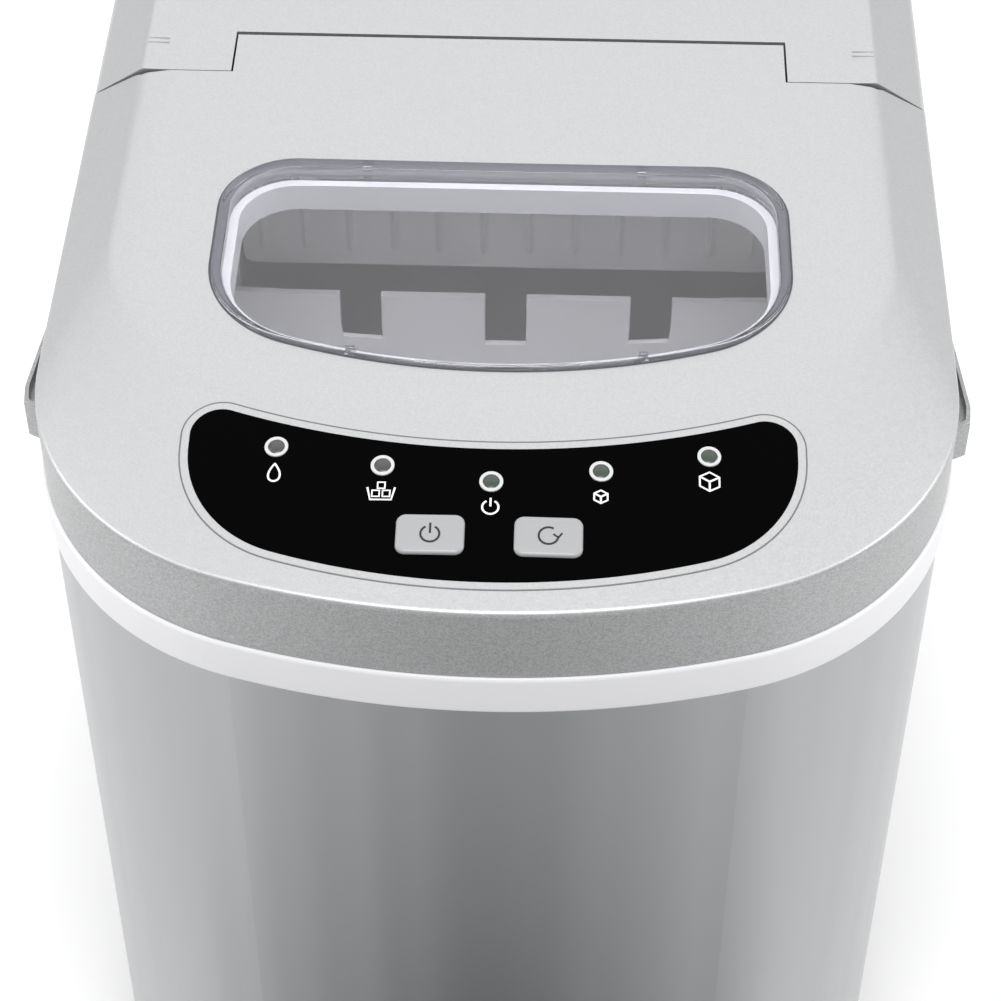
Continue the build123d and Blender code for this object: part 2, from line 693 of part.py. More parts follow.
def make_water_tray():
    """Trough that holds the water round the fingers, with a sloped front wall and stub axles."""
    outer = [(TRAY_FRONT, TRAY_TOP), (28, TRAY_FLOOR), (TRAY_REAR, TRAY_FLOOR), (TRAY_REAR, TRAY_TOP)]
    inner = [(TRAY_FRONT + 2.2, 280), (TRAY_FRONT + 2.2, TRAY_TOP), (29.2, TRAY_FLOOR + 2)]
    inner += [(TRAY_REAR - 2, TRAY_FLOOR + 2), (TRAY_REAR - 2, 280)]
    faces = [Plane.YZ * make_face(Polyline(*p, close=True)) for p in (outer, inner)]
    tray = extrude(faces[0], amount=TRAY_HALF, both=True) - extrude(faces[1], amount=TRAY_HALF - 2, both=True)
    boss = rod_x((TRAY_HALF - 2, TRAY_HALF + 2.5), TRAY_Y, TRAY_Z, 5)
    stub = rod_x((TRAY_HALF, 88), TRAY_Y, TRAY_Z, AXLE_R)
    return tray + boss + mirror_x(boss) + stub + mirror_x(stub)


def crank_arm(y, z):
    """Arm on a stub axle at y and z, with its pin forward and below."""
    hub = rod_x((-88, -84.6), y, z, 5)
    pin_y, pin_z = y - CRANK, z - CRANK
    arm = hub + rod_x((-88, -84.6), pin_y, pin_z, 3.5)
    reach = math.hypot(CRANK, CRANK)
    bar = Pos(-86.3, y - CRANK / 2, z - CRANK / 2) * Rot(45, 0, 0) * Box(3.4, reach, 6)
    arm += bar - rod_x((-95, -80), y, z, AXLE_R)
    arm += rod_x((-92.4, -87), pin_y, pin_z, 1.5)
    return arm - rod_x((-88.1, -80), y, z, AXLE_R)


def make_link_rod():
    """Bar that ties the two cranks, its upper eye open wide enough to turn freely."""
    low = (TRAY_Y - CRANK, TRAY_Z - CRANK)
    high = (SHOVEL_Y - CRANK, SHOVEL_Z - CRANK)
    length = math.hypot(high[0] - low[0], high[1] - low[1])
    lean = math.degrees(math.atan2(low[0] - high[0], high[1] - low[1]))
    middle = ((low[0] + high[0]) / 2, (low[1] + high[1]) / 2)
    bar = Pos(-89.9, *middle) * Rot(lean, 0, 0) * Box(2.6, 4, length)
    for y, z in (low, high):
        bar += rod_x((-91.2, -88.6), y, z, 3.6)
    bar -= rod_x((-95, -85), *low, 1.55)
    return bar - rod_x((-95, -85), *high, 1.75)


def make_ice_shovel():
    """Ribbed flap that hangs in front of the fingers and pushes ice into the basket."""
    flap = block((-SHOVEL_HALF, SHOVEL_HALF), (SHOVEL_Y - 1, SHOVEL_Y + 1.2), (SHOVEL_BOTTOM, SHOVEL_Z))
    corners = [e for e in flap.edges().filter_by(Axis.Y) if e.center().Z < SHOVEL_BOTTOM + 1]
    flap = fillet(corners, 4)
    for k in range(SHOVEL_RIBS):
        x = (k - (SHOVEL_RIBS - 1) / 2) * RIB_PITCH
        flap += block((x - 0.7, x + 0.7), (SHOVEL_Y - 2.2, SHOVEL_Y - 0.5), (SHOVEL_BOTTOM + 4, SHOVEL_Z - 2))
    flap += rod_x((-SHOVEL_HALF, SHOVEL_HALF), SHOVEL_Y, SHOVEL_Z, 4.2)
    stub = rod_x((SHOVEL_HALF - 1, 84.4), SHOVEL_Y, SHOVEL_Z, AXLE_R)
    return flap + stub + mirror_x(rod_x((SHOVEL_HALF - 1, 88), SHOVEL_Y, SHOVEL_Z, AXLE_R))


def make_tray_motor():
    """Flat gear motor on the right bracket, its bore over the tray's axle."""
    motor = rod_x((84.3, 95.8), TRAY_Y, TRAY_Z, 19)
    motor -= block((80, 100), (TRAY_Y - 30, TRAY_Y - 15.5), (200, 300))
    motor -= block((80, 100), (0, 50), (279.8, 300))
    return motor - rod_x((80, 88.4), TRAY_Y, TRAY_Z, AXLE_R + 0.05)


def make_ice_full_sensors():
    """Infrared lamp and receiver under the deck, one on each side, with round lenses facing inward."""
    eye = block((91, TANK[0]), (-18, -8), (280, 290.6)) + rod_x((90.4, 92), -13, 285, 2.2)
    return [eye, mirror_x(eye)]


# ---- machine compartment ----
def grommet_points():
    x, y = COMPRESSOR
    return [(x - 44, y - 26), (x + 44, y - 26), (x, y + 27)]


def make_compressor():
    """Hermetic compressor: oval can on a three-legged plate with a terminal box."""
    x, y = COMPRESSOR
    can = extrude(Pos(x, y, 44) * Ellipse(50, 35), amount=104)
    can = fillet(can.edges().filter_by(Plane.XY), 14)
    can += Pos(0, 0, 92) * (extrude(Pos(x, y, 0) * Ellipse(51.2, 36.2), amount=3))
    plate = block((x - 52, x + 52), (y - 34, y - 16), (33, 36)) + block((x - 10, x + 10), (y - 18, y + 34), (33, 36))
    can += plate + block((x - 30, x + 30), (y - 20, y + 20), (34, 46))
    for gx, gy in grommet_points():
        can -= rod_z(gx, gy, (30, 40), 5.1)
    return can + block((x + 44, x + 60), (y - 14, y + 14), (78, 118))


def make_compressor_grommets():
    """Rubber bushes between the compressor plate and the base pan."""
    bushes = []
    for x, y in grommet_points():
        bushes.append(spun_z([(4, 20.1), (4, 26), (8, 26), (8, 33), (5, 33), (5, 37), (7, 37), (6, 40)], x, y))
    return bushes


def make_condenser():
    """Finned block in front of the side grille."""
    core = block((92, 114), (95, 161), (42, 162))
    grooves = [block((91, 115), (99, 157), (z, z + 2.4)) for z in range(46, 158, 4)]
    return core - grooves


def make_fan_bracket():
    floor = FOOT_HEIGHT + 3
    plate = block((88, 90.5), (93, 162.5), (floor, 166)) + block((78, 90), (93, 162.5), (floor, floor + 2.5))
    plate += block((90, 92), (95, 161), (42, 162)) - block((89, 93), (99, 157), (46, 158))
    plate -= rod_x((77, 92), 110, 30, 3.2)
    return plate - rod_x((80, 91), FAN_Y, FAN_Z, FAN_R + 1.2)


def make_fan_motor():
    motor = rod_x((46, 70), FAN_Y, FAN_Z, 18) - rod_x((60, 71), FAN_Y, FAN_Z, 1.55)
    for side in (-1, 1):
        y = FAN_Y + side * 22
        motor += block((48, 52), (min(y, FAN_Y), max(y, FAN_Y)), (FAN_Z - 4, FAN_Z + 4))
        motor += block((48, 88), (y - 2, y + 2), (FAN_Z - 52, FAN_Z - 46))
        motor += block((48, 52), (y - 2, y + 2), (FAN_Z - 52, FAN_Z + 4))
    return motor


def make_fan_blade():
    """Five pitched blades on a hub with its shaft."""
    hub = rod_x((72, 84), FAN_Y, FAN_Z, 9) + rod_x((62, 73), FAN_Y, FAN_Z, 1.5)
    blade = Pos(0, 0, 18.5) * Rot(0, 0, 32) * Box(1.4, 15, 23)
    for k in range(5):
        hub += Pos(78, FAN_Y, FAN_Z) * Rot(72 * k, 0, 0) * blade
    return hub


def make_filter_drier():
    z = 60
    profile = [(2.6, z), (8, z + 8), (8, z + 56), (2.6, z + 66)]
    return spun_z(profile, 28, 110)


def make_hot_gas_valve():
    """Solenoid valve: brass body with its coil."""
    valve = rod_z(30, 148, (172.6, 190), 6) + block((20, 40), (136, 160), (190, 216))
    return valve + rod_z(30, 148, (215, 224), 4)


def make_discharge_line():
    """From the compressor up to the valve tee and on to the condenser."""
    points = [(-20, 134, 148), (-20, 134, 170), (30, 148, 170), (102, 140, 170), (102, 140, 162)]
    return tube(points, 2.5, 6)


def make_suction_line():
    points = [(-70, 134, 148), (-70, 134, 240), (-60, 104, 262), (-60, 104, 284)]
    return tube(points, 3.0, 8)


def make_capillary_tube():
    points = [(28, 110, 126), (28, 110, 240), (60, 104, 262), (60, 104, 284)]
    return tube(points, 1.6, 8)


def make_liquid_line():
    points = [(102, 110, 42), (102, 110, 30), (28, 110, 30), (28, 110, 60)]
    return tube(points, 2.5, 6)


def make_power_board():
    """Mains board on a plastic tray, with transformer, relays and connectors."""
    z = 200
    parts = block((-112, -2), (98, 166), (z - 6, z - 3)) + block((-100, -14), (160, REAR_Y - 2.2), (z - 6, z - 3)) + block((-108, -6), (101, 163), (z - 4, z))
    parts += block((-106, -78), (108, 144), (z - 1, z + 24)) + block((-60, -46), (110, 128), (z - 1, z + 15))
    parts += block((-42, -28), (110, 128), (z - 1, z + 15)) + block((-60, -20), (150, 158), (z - 1, z + 9))
    for x in (-96, -84):
        parts += rod_z(x, 154, (z - 1, z + 18), 5)
    return parts - rod_z(-70, 134, (180, 230), 4.5)


def make_mains_inlet():
    """Recessed three-pin appliance inlet in the rear panel."""
    x, z = INLET
    inlet = block((x - 13.6, x + 13.6), (150, 177.9), (z - 10.6, z + 10.6))
    inlet += block((x - 17, x + 17), (174.6, 176.6), (z - 13, z + 13))
    inlet -= block((x - 11.8, x + 11.8), (158, 180), (z - 8.2, z + 8.2))
    for dx, dz in ((-7, -2), (0, 2.5), (7, -2)):
        inlet += block((x + dx - 1, x + dx + 1), (157, 174), (z + dz - 2, z + dz + 2))
    return inlet


# ---- files ----
NODES = {
    "base_pan": make_base_pan,
    "wrap_shell": make_wrap_shell,
    "rear_panel": make_rear_panel,
    "housing_screws": make_screws,
    "rim_frame": make_rim_frame,
    "rear_cover": make_rear_cover,
    "hinge_pin_left": lambda: make_hinge_pin(-1),
    "hinge_pin_right": lambda: make_hinge_pin(1),
    "lid_shell": make_lid_shell,
    "lid_window": make_lid_window,
    "lid_liner": make_lid_liner,
    "control_housing": make_control_housing,
    "control_bezel": make_control_bezel,
    "control_overlay": make_control_overlay,
    "led_rings": make_led_rings,
    "led_lenses": make_led_lenses,
    "panel_board": make_panel_board,
    "on_off_button": lambda: make_button(-1),
    "select_button": lambda: make_button(1),
    "water_tank": make_water_tank,
    "tank_insulation": make_tank_insulation,
    "drain_spout": make_drain_spout,
    "drain_cap": make_drain_cap,
    "ice_basket": make_ice_basket,
    "water_pump": make_water_pump,
    "pump_impeller": make_pump_impeller,
    "supply_hose": make_supply_hose,
    "float_stem": make_float_stem,
    "water_float": make_water_float,
    "evaporator_plate": make_evaporator_plate,
    "cooling_fingers": make_cooling_fingers,
    "evaporator_tube": make_evaporator_tube,
    "evaporator_cover": make_evaporator_cover,
    "bracket_left": lambda: make_bracket(-1),
    "bracket_right": lambda: make_bracket(1),
    "water_tray": make_water_tray,
    "tray_crank": lambda: crank_arm(TRAY_Y, TRAY_Z),
    "link_rod": make_link_rod,
    "ice_shovel": make_ice_shovel,
    "shovel_crank": lambda: crank_arm(SHOVEL_Y, SHOVEL_Z),
    "tray_motor": make_tray_motor,
    "ice_full_sensors": make_ice_full_sensors,
    "compressor": make_compressor,
    "compressor_grommets": make_compressor_grommets,
    "condenser": make_condenser,
    "fan_bracket": make_fan_bracket,
    "fan_motor": make_fan_motor,
    "fan_blade": make_fan_blade,
    "filter_drier": make_filter_drier,
    "hot_gas_valve": make_hot_gas_valve,
    "discharge_line": make_discharge_line,
    "suction_line": make_suction_line,
    "capillary_tube": make_capillary_tube,
    "liquid_line": make_liquid_line,
    "power_board": make_power_board,
    "mains_inlet": make_mains_inlet,
}


def write_parts():
    os.makedirs("parts", exist_ok=True)
    foot_names = ["foot_front_left", "foot_front_right", "foot_rear_left", "foot_rear_right"]
    made = {name: make() for name, make in NODES.items()}
    for name, (x, y) in zip(foot_names, foot_points()):
        made[name] = make_foot(x, y)
    for name, shape in made.items():
        solids = shape if isinstance(shape, list) else [shape]
        solids = [solid for part in solids for solid in part.solids()]
        export_step(Compound(children=solids), f"parts/{name}.step")


write_parts()
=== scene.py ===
"""Looks of a countertop ice maker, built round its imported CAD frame.

Each operator builds one piece or one group of like pieces. Sizes in the code are millimetres, which become
metres when a mesh is made. +Z is up and -Y is the front.
"""

import bmesh
import bpy
import numpy as np
from mathutils import Matrix


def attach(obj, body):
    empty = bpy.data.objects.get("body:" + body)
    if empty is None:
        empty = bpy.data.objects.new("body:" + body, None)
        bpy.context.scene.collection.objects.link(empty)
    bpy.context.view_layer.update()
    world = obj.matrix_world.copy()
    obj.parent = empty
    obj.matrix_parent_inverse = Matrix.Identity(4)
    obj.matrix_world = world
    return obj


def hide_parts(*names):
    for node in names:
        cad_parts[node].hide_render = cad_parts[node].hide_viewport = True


bl_info = {
    "name": "Countertop Ice Maker",
    "version": (1, 0, 0),
    "blender": (4, 5, 0),
    "location": "View3D > Sidebar > Ice Maker",
    "description": "Builds the visible pieces and finishes of a countertop ice maker",
    "category": "Add Mesh",
}

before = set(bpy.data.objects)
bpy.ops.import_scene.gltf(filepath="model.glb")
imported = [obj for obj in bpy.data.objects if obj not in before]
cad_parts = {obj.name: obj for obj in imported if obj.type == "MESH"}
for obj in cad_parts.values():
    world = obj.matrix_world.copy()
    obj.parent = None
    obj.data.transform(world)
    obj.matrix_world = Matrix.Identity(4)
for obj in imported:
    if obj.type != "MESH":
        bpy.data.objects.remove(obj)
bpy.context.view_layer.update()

MM = 0.001
SIDE_STEPS = 16
TINY = 1e-9

# plan outlines: half width, front y, bow radius, bow half width, rear y, rear corner radius
BODY = (120.0, -179.0, 229.6, 65.3, 179.0, 20.0)
CROWN = (104.4, -121.8, 190.0, 66.0, 164.0, 16.0)
WINDOW = (76.5, -104.1, 172.6, 55.0, -22.8, 20.0)
TANK = (97.0, -160.0, 215.0, 60.0, 76.0, 10.0)

BAND_BOTTOM = 280.8
BAND_TOP = 293.3
SKIRT_BOTTOM = 293.5
CREASE_Z = 316.5
CROWN_Z = 325.3
PLATEAU_Z = 326.0
RIDGE_Z = 326.2
SKIRT_INSET = 0.9
SEAM_Y = 16.2
LID_GAP = 0.3
TAB_HALF = 78.4
TAB_REAR = 33.0
NOTCH_HALF = 79.0
NOTCH_REAR = 34.4
HINGE = (20.2, 320.5)

# height of the rear cover's front edge by distance from the middle, and the air kept round it by the open lid
EAR_X = (78.4, 97.0, 104.4, 119.1)
EAR_Z = (PLATEAU_Z, PLATEAU_Z, RIDGE_Z, CREASE_Z)
EAR_AIR = 0.25

# control panel: outline of its front, and the hollow arc and tip radius of its rear edge
PANEL = (75.9, -169.0, 176.8, 52.9)
PANEL_HOLLOW_R = 195.0
PANEL_HOLLOW_Y = 64.9
PANEL_TIP = 7.5
LAMPS = ((-53.75, -130.1), (-27.0, -135.7), (0.0, -140.0), (27.0, -136.0), (53.75, -130.1))
KEY_X = 14.4
KEY_Y = -155.9
CLIP_X = 37.5

# plan width of the roll from the crown line to the flat top
LID_ROLL = 8.0
COVER_ROLL = 6.0
COVER_EASE = (2.2, 1.0)

# panel: heights of its layers over the slope, their thickness, printed lines, and drop of signs below lamps
GAP_RISE = 0.03
BORDER_RISE = 0.08
FILM_RISE = 0.12
INK_RISE = 0.17
KEY_INK_RISE = 1.03
LAYER = 0.4
INK = 0.08
STROKE = 0.5
SIGN_DROP = 7.4

# window pane: top and foot over the flat top, and share of its outline that the rounded edge leaves flat
PANE_RISE = 1.2
PANE_DEPTH = 6.0
PANE_FLAT = 0.8

# ice shovel: axle place (y, z), half length, lower edge and ribs
SHOVEL_AXLE = (11.0, 296.0)
SHOVEL_HALF = 80.0
SHOVEL_BOTTOM = 258.0
SHOVEL_RIBS = 12
RIB_PITCH = 13.33

# small signs on the rear cover
MARK_X = 101.0
MARK_Y = 30.5
MARK_HALF = 3.0

# plastic that the finishes and the shovel share: name, colour and roughness
WHITE_PLASTIC = ("moulded white polypropylene", "F8F8F8", 0.42)


def linear(code):
    """Linear red, green and blue of an sRGB hex colour."""
    channels = np.array([int(code[i : i + 2], 16) for i in (0, 2, 4)]) / 255
    return tuple(np.where(channels <= 0.04045, channels / 12.92, ((channels + 0.055) / 1.055) ** 2.4))


# ---- settings ----
class LidSettings(bpy.types.PropertyGroup):
    """Sizes of the moulded top."""

    wall: bpy.props.FloatProperty(
        name="Wall", description="Thickness of the moulded wall", default=2.4 * MM, unit="LENGTH"
    )
    crease_radius: bpy.props.FloatProperty(
        name="Crease Radius", description="Rounding over the skirt", default=1.5 * MM, unit="LENGTH"
    )
    crown_radius: bpy.props.FloatProperty(
        name="Crown Radius", description="Rounding below the flat top", default=2.5 * MM, unit="LENGTH"
    )
    colour: bpy.props.FloatVectorProperty(
        name="Paint", description="Colour of the painted top", subtype="COLOR", default=linear("C8C9CA")
    )


class CabinetSettings(bpy.types.PropertyGroup):
    """Colours of the cabinet."""

    steel: bpy.props.FloatVectorProperty(
        name="Shell", description="Colour of the wrapped sheet", subtype="COLOR", default=linear("A9AAAC")
    )
    band: bpy.props.FloatVectorProperty(
        name="Band", description="Colour of the moulded band", subtype="COLOR", default=linear("E4E4E7")
    )
    edge_radius: bpy.props.FloatProperty(
        name="Band Edge", description="Rounding of the band's edges", default=1.2 * MM, unit="LENGTH"
    )


class WindowSettings(bpy.types.PropertyGroup):
    """Look of the lid's window."""

    smoke: bpy.props.FloatVectorProperty(
        name="Smoke", description="Tint of the clear pane", subtype="COLOR", default=linear("F6F6F9")
    )
    thickness: bpy.props.FloatProperty(
        name="Thickness", description="Thickness of the pane", default=2.4 * MM, unit="LENGTH"
    )


# ---- shapes ----
def arc(centre, radius, start, end, count):
    """Points at equal angles on a circle: centre plus radius times the angle's cosine and sine."""
    angles = np.radians(np.linspace(start, end, count + 1))
    return np.stack([centre[0] + radius * np.cos(angles), centre[1] + radius * np.sin(angles)], 1)


def run(a, b, count):
    """Points at equal steps on a straight line."""
    return np.linspace(a, b, count + 1)


def corners_of(shape):
    """Lean of the bow's ends in degrees, corner radius, corner centre and bow centre of a plan outline."""
    half, front, bow_r, bow_half = shape[:4]
    lean = np.degrees(np.arcsin(bow_half / bow_r))
    corner_r = (half - bow_half) / (1 - bow_half / bow_r)
    bow_y = front + bow_r
    centre = (half - corner_r, bow_y - (bow_r - corner_r) * np.cos(np.radians(lean)))
    return lean, corner_r, centre, bow_y


def joined(runs):
    """Runs of points as one run, without the repeated first point of each next one."""
    return np.concatenate([runs[0]] + [points[1:] for points in runs[1:]])


def front_path(shape, inset=0.0, y_start=0.0):
    """Front part of an outline: forward on the left side, round the bow, and back on the right to y_start."""
    lean, corner_r, centre, bow_y = corners_of(shape)
    x = shape[0] - inset
    runs = [
        run((-x, y_start), (-x, centre[1]), SIDE_STEPS),
        arc((-centre[0], centre[1]), corner_r - inset, 180, 270 - lean, 24),
        arc((0, bow_y), shape[2] - inset, 270 - lean, 270 + lean, 48),
        arc(centre, corner_r - inset, 270 + lean, 360, 24),
        run((x, centre[1]), (x, y_start), SIDE_STEPS),
    ]
    return joined(runs)


def rear_path(shape, inset=0.0, y_start=0.0):
    """Rear part of an outline: back on the right side from y_start, round the rear, forward on the left."""
    x = shape[0] - inset
    back = shape[4] - inset
    r = max(shape[5] - inset, 0.5)
    runs = [
        run((x, y_start), (x, back - r), SIDE_STEPS),
        arc((x - r, back - r), r, 0, 90, 12),
        run((x - r, back), (r - x, back), 24),
        arc((r - x, back - r), r, 90, 180, 12),
        run((-x, back - r), (-x, y_start), SIDE_STEPS),
    ]
    return joined(runs)


def loop(shape, inset=0.0):
    """Whole outline as a closed run of points, without the repeated last point."""
    middle = (corners_of(shape)[2][1] + shape[4] - shape[5]) / 2
    return np.concatenate([front_path(shape, inset, middle), rear_path(shape, inset, middle)[1:-1]])


def lift(points, z):
    """Plan points at a height, which is one number or one per point."""
    return np.column_stack([points, np.broadcast_to(z, len(points))])


def rounded(stations, radii, steps=6):
    """Grid (rows, n, 3) through the stations, whose inner corners are eased.

    At each inner station, a quadratic curve leaves the line one radius before the corner and joins the next
    line one radius after it: start (1-t)^2 + corner 2t(1-t) + end t^2.
    """
    rows = [stations[0]]
    t = np.linspace(0, 1, steps + 1)[:, None, None]
    for before, corner, after, radius in zip(stations, stations[1:], stations[2:], radii):
        if radius <= 0:
            rows.append(corner)
            continue
        to_before, to_after = before - corner, after - corner
        reach_before = np.linalg.norm(to_before, axis=1, keepdims=True)
        reach_after = np.linalg.norm(to_after, axis=1, keepdims=True)
        start = corner + to_before * np.minimum(radius / np.maximum(reach_before, TINY), 0.49)
        end = corner + to_after * np.minimum(radius / np.maximum(reach_after, TINY), 0.49)
        rows.extend(start * (1 - t) ** 2 + corner * 2 * t * (1 - t) + end * t**2)
    rows.append(stations[-1])
    return np.array(rows)


def grid_faces(rows, columns, closed_rows=False, closed_columns=False):
    """Quads of a grid of points, in the order that makes normals point along row step cross column step."""
    i = np.arange(rows if closed_rows else rows - 1)
    j = np.arange(columns if closed_columns else columns - 1)
    i, j = np.meshgrid(i, j, indexing="ij")
    down, right = (i + 1) % rows, (j + 1) % columns
    near, far = i * columns, down * columns
    return np.stack([near + j, far + j, far + right, near + right], -1).reshape(-1, 4)


def make_piece(name, surfaces, body, material, replaces=(), smooth=40.0):
    """Mesh object from (points, faces) surfaces in millimetres, joined where points meet, facing outwards."""
    points = np.concatenate([p.reshape(-1, 3) for p, f in surfaces])
    starts = np.cumsum([0] + [p.reshape(-1, 3).shape[0] for p, f in surfaces[:-1]])
    faces = np.concatenate([f + start for (p, f), start in zip(surfaces, starts)])
    keys, index = np.unique(np.round(points, 4), axis=0, return_inverse=True)
    faces = index.reshape(-1)[faces]
    nexts = np.roll(faces, -1, axis=1)
    faces = faces[(faces != nexts).sum(axis=1) >= 3]
    polygons = [list(dict.fromkeys(face)) for face in faces.tolist()]
    mesh = bpy.data.meshes.new(name)
    mesh.from_pydata((keys * MM).tolist(), [], polygons)
    shell = bmesh.new()
    shell.from_mesh(mesh)
    bmesh.ops.recalc_face_normals(shell, faces=shell.faces)
    shell.to_mesh(mesh)
    shell.free()
    mesh.shade_smooth()
    mesh.set_sharp_from_angle(angle=np.radians(smooth))
    mesh.materials.append(material)
    piece = bpy.data.objects.new(name, mesh)
    bpy.context.scene.collection.objects.link(piece)
    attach(piece, body)
    if replaces:
        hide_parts(*replaces)
    return piece


def surface(grid, closed_rows=False, closed_columns=False):
    """Points and quads of one grid."""
    return grid, grid_faces(grid.shape[0], grid.shape[1], closed_rows, closed_columns)


def bridge(a, b, closed=False):
    """Strip of quads between two runs of points."""
    return surface(np.array([a, b]), closed_columns=closed)


def ring_solid(inner, outer, depth):
    """Closed flat ring: two closed runs of points on top, and the same runs lower down."""
    drop = (0, 0, depth)
    grid = np.array([inner, outer, outer - drop, inner - drop])
    return [surface(grid, closed_rows=True, closed_columns=True)]


def revolved(x, y, profile, count=40):
    """Rows of rings about an upright axis on the slope, from (radius, rise) pairs: x + r cos, y + r sin."""
    turn = np.radians(np.arange(count) * 360 / count)
    rows = [np.stack([x + r * np.cos(turn), y + r * np.sin(turn)], 1) for r, rise in profile]
    return np.array([on_slope(row, rise) for row, (r, rise) in zip(rows, profile)])


def turned(profile, place, count=36):
    """Rows of rings about a line along X at a (y, z) place, from (x, radius) pairs."""
    turn = np.radians(np.arange(count) * 360 / count)
    rows = [(np.full(count, x), place[0] + r * np.cos(turn), place[1] + r * np.sin(turn)) for x, r in profile]
    return np.array([np.stack(row, 1) for row in rows])


def across(start, end, rows, z):
    """Grid at height z that runs from one row of plan points straight to another."""
    steps = np.linspace(0, 1, rows)[:, None, None]
    plan = start * (1 - steps) + end * steps
    return np.concatenate([plan, np.full(plan.shape[:2] + (1,), z)], 2)


def shrunk(loop_points, share):
    """Closed run of points drawn in towards its own middle."""
    middle = loop_points.mean(axis=0)
    return middle + (loop_points - middle) * share


def resample(points, count):
    """The same polyline as count points at equal steps along it."""
    step = np.linalg.norm(np.diff(points, axis=0), axis=1)
    along = np.concatenate([[0], np.cumsum(step)])
    target = np.linspace(0, along[-1], count)
    return np.stack([np.interp(target, along, points[:, k]) for k in range(3)], 1)


def polar_match(points, centre, outer):
    """Points of a closed outline that share its length out as the outer points share out the turn.

    Each outer point is seen from the centre at an angle, and takes the outline's point on that ray.
    """
    dense = resample(lift(np.concatenate([points, points[:1]]), 0.0), 4000)[:-1, :2]
    rays, arms = outer - centre, dense - centre
    angle, around = (np.arctan2(a[:, 1], a[:, 0]) for a in (rays, arms))
    order = np.argsort(around)
    return np.stack([np.interp(angle, around[order], dense[order, k], period=2 * np.pi) for k in (0, 1)], 1)


def cap_stations(path, crown_z, roll, shrink, y_start):
    """Skirt foot, crease, crown line and plateau line of the moulded top, drawn in by shrink."""
    return [
        lift(path(BODY, SKIRT_INSET + shrink, y_start), SKIRT_BOTTOM),
        lift(path(BODY, SKIRT_INSET + shrink, y_start), CREASE_Z - 0.6 * shrink),
        lift(path(CROWN, shrink, y_start), crown_z - shrink),
        lift(path(CROWN, roll + shrink, y_start), PLATEAU_Z - shrink),
    ]


def slope_height(x, y):
    """Height of the sloped front over plan points.

    The slope is ruled between the crown line and the crease, so a point is (1-t) crown(s) + t crease(s).
    t follows from y, and s is corrected by the error that is left in x, a few times over.
    """
    paths = (front_path(CROWN), front_path(BODY, SKIRT_INSET))
    crown, crease = (path[SIDE_STEPS:-SIDE_STEPS] for path in paths)
    index = np.arange(len(crown))
    s = np.interp(x, crown[:, 0], index)
    for _ in range(8):
        xc, yc, xb, yb = (np.interp(s, index, a) for a in (*crown.T, *crease.T))
        t = (yc - y) / (yc - yb)
        s = s + (x - (1 - t) * xc - t * xb) / np.interp(s, index, np.gradient(crown[:, 0]))
    return CROWN_Z + t * (CREASE_Z - CROWN_Z)


def on_slope(plan, above):
    """Plan points laid on the sloped front and raised by above."""
    plan = np.asarray(plan, float)
    return np.concatenate([plan, (slope_height(plan[..., 0], plan[..., 1]) + above)[..., None]], -1)


def panel_edges(x, grow=0.0):
    """Front and rear edge of the crescent panel at x: arcs in front, a hollow arc with round tips behind."""
    half = PANEL[0] + grow
    size = np.minimum(np.abs(x), half)
    lean, corner_r, centre, bow_y = corners_of(PANEL)
    bow = bow_y - np.sqrt((PANEL[2] + grow) ** 2 - size**2)
    corner = centre[1] - np.sqrt(np.maximum((corner_r + grow) ** 2 - (size - centre[0]) ** 2, 0))
    turn = (PANEL[2] + grow) * np.sin(np.radians(lean))
    tip_x = PANEL[0] - PANEL_TIP
    tip_y = PANEL_HOLLOW_Y - np.sqrt((PANEL_HOLLOW_R + PANEL_TIP) ** 2 - tip_x**2)
    tangent = tip_x * PANEL_HOLLOW_R / (PANEL_HOLLOW_R + PANEL_TIP)
    hollow = PANEL_HOLLOW_Y - np.sqrt((PANEL_HOLLOW_R - grow) ** 2 - size**2)
    tip = tip_y + np.sqrt(np.maximum((PANEL_TIP + grow) ** 2 - (size - tip_x) ** 2, 0))
    return np.where(size < turn, bow, corner), np.where(size < tangent, hollow, tip)


def panel_loop(grow):
    """Closed run of points round the panel, front edge from left to right and rear edge back again."""
    x = (PANEL[0] + grow) * np.sin(np.radians(np.linspace(-90, 90, 181)))
    front, rear = panel_edges(x, grow)
    return np.concatenate([np.stack([x, front], 1), np.stack([x, rear], 1)[::-1]])


def plate(face, back):
    """Closed plate between two grids of points, with a wall round it."""
    rims = [np.concatenate([g[0], g[1:, -1], g[-1, -2::-1], g[-2:0:-1, 0]]) for g in (face, back)]
    return [surface(face), surface(back), bridge(*rims, closed=True)]


def slab(grid, thickness):
    """Closed plate of a thickness below a grid of points."""
    return plate(grid, grid - (0, 0, thickness))


def ribbon(points, above, closed):
    """Printed line at a height over the sloped front: a stroke of even width along plan points."""
    points = np.asarray(points, float)
    step = np.roll(points, -1, 0) - np.roll(points, 1, 0) if closed else np.gradient(points, axis=0)
    side = np.stack([-step[:, 1], step[:, 0]], 1) / np.linalg.norm(step, axis=1, keepdims=True) * STROKE / 2
    near, far = on_slope(points - side, above), on_slope(points + side, above)
    return ring_solid(near, far, INK) if closed else slab(np.array([near, far]), INK)


# ---- finishes ----
def add(tree, kind, inputs=None, **settings):
    """Adds a node, sets its properties, and sets or links each named input."""
    node = tree.nodes.new(kind)
    for key, value in settings.items():
        setattr(node, key, value)
    for key, value in (inputs or {}).items():
        socket = node.inputs[key]
        if isinstance(value, bpy.types.NodeSocket):
            tree.links.new(value, socket)
        elif socket.type == "RGBA" and len(value) == 3:
            socket.default_value = (*value, 1.0)
        else:
            socket.default_value = value
    return node


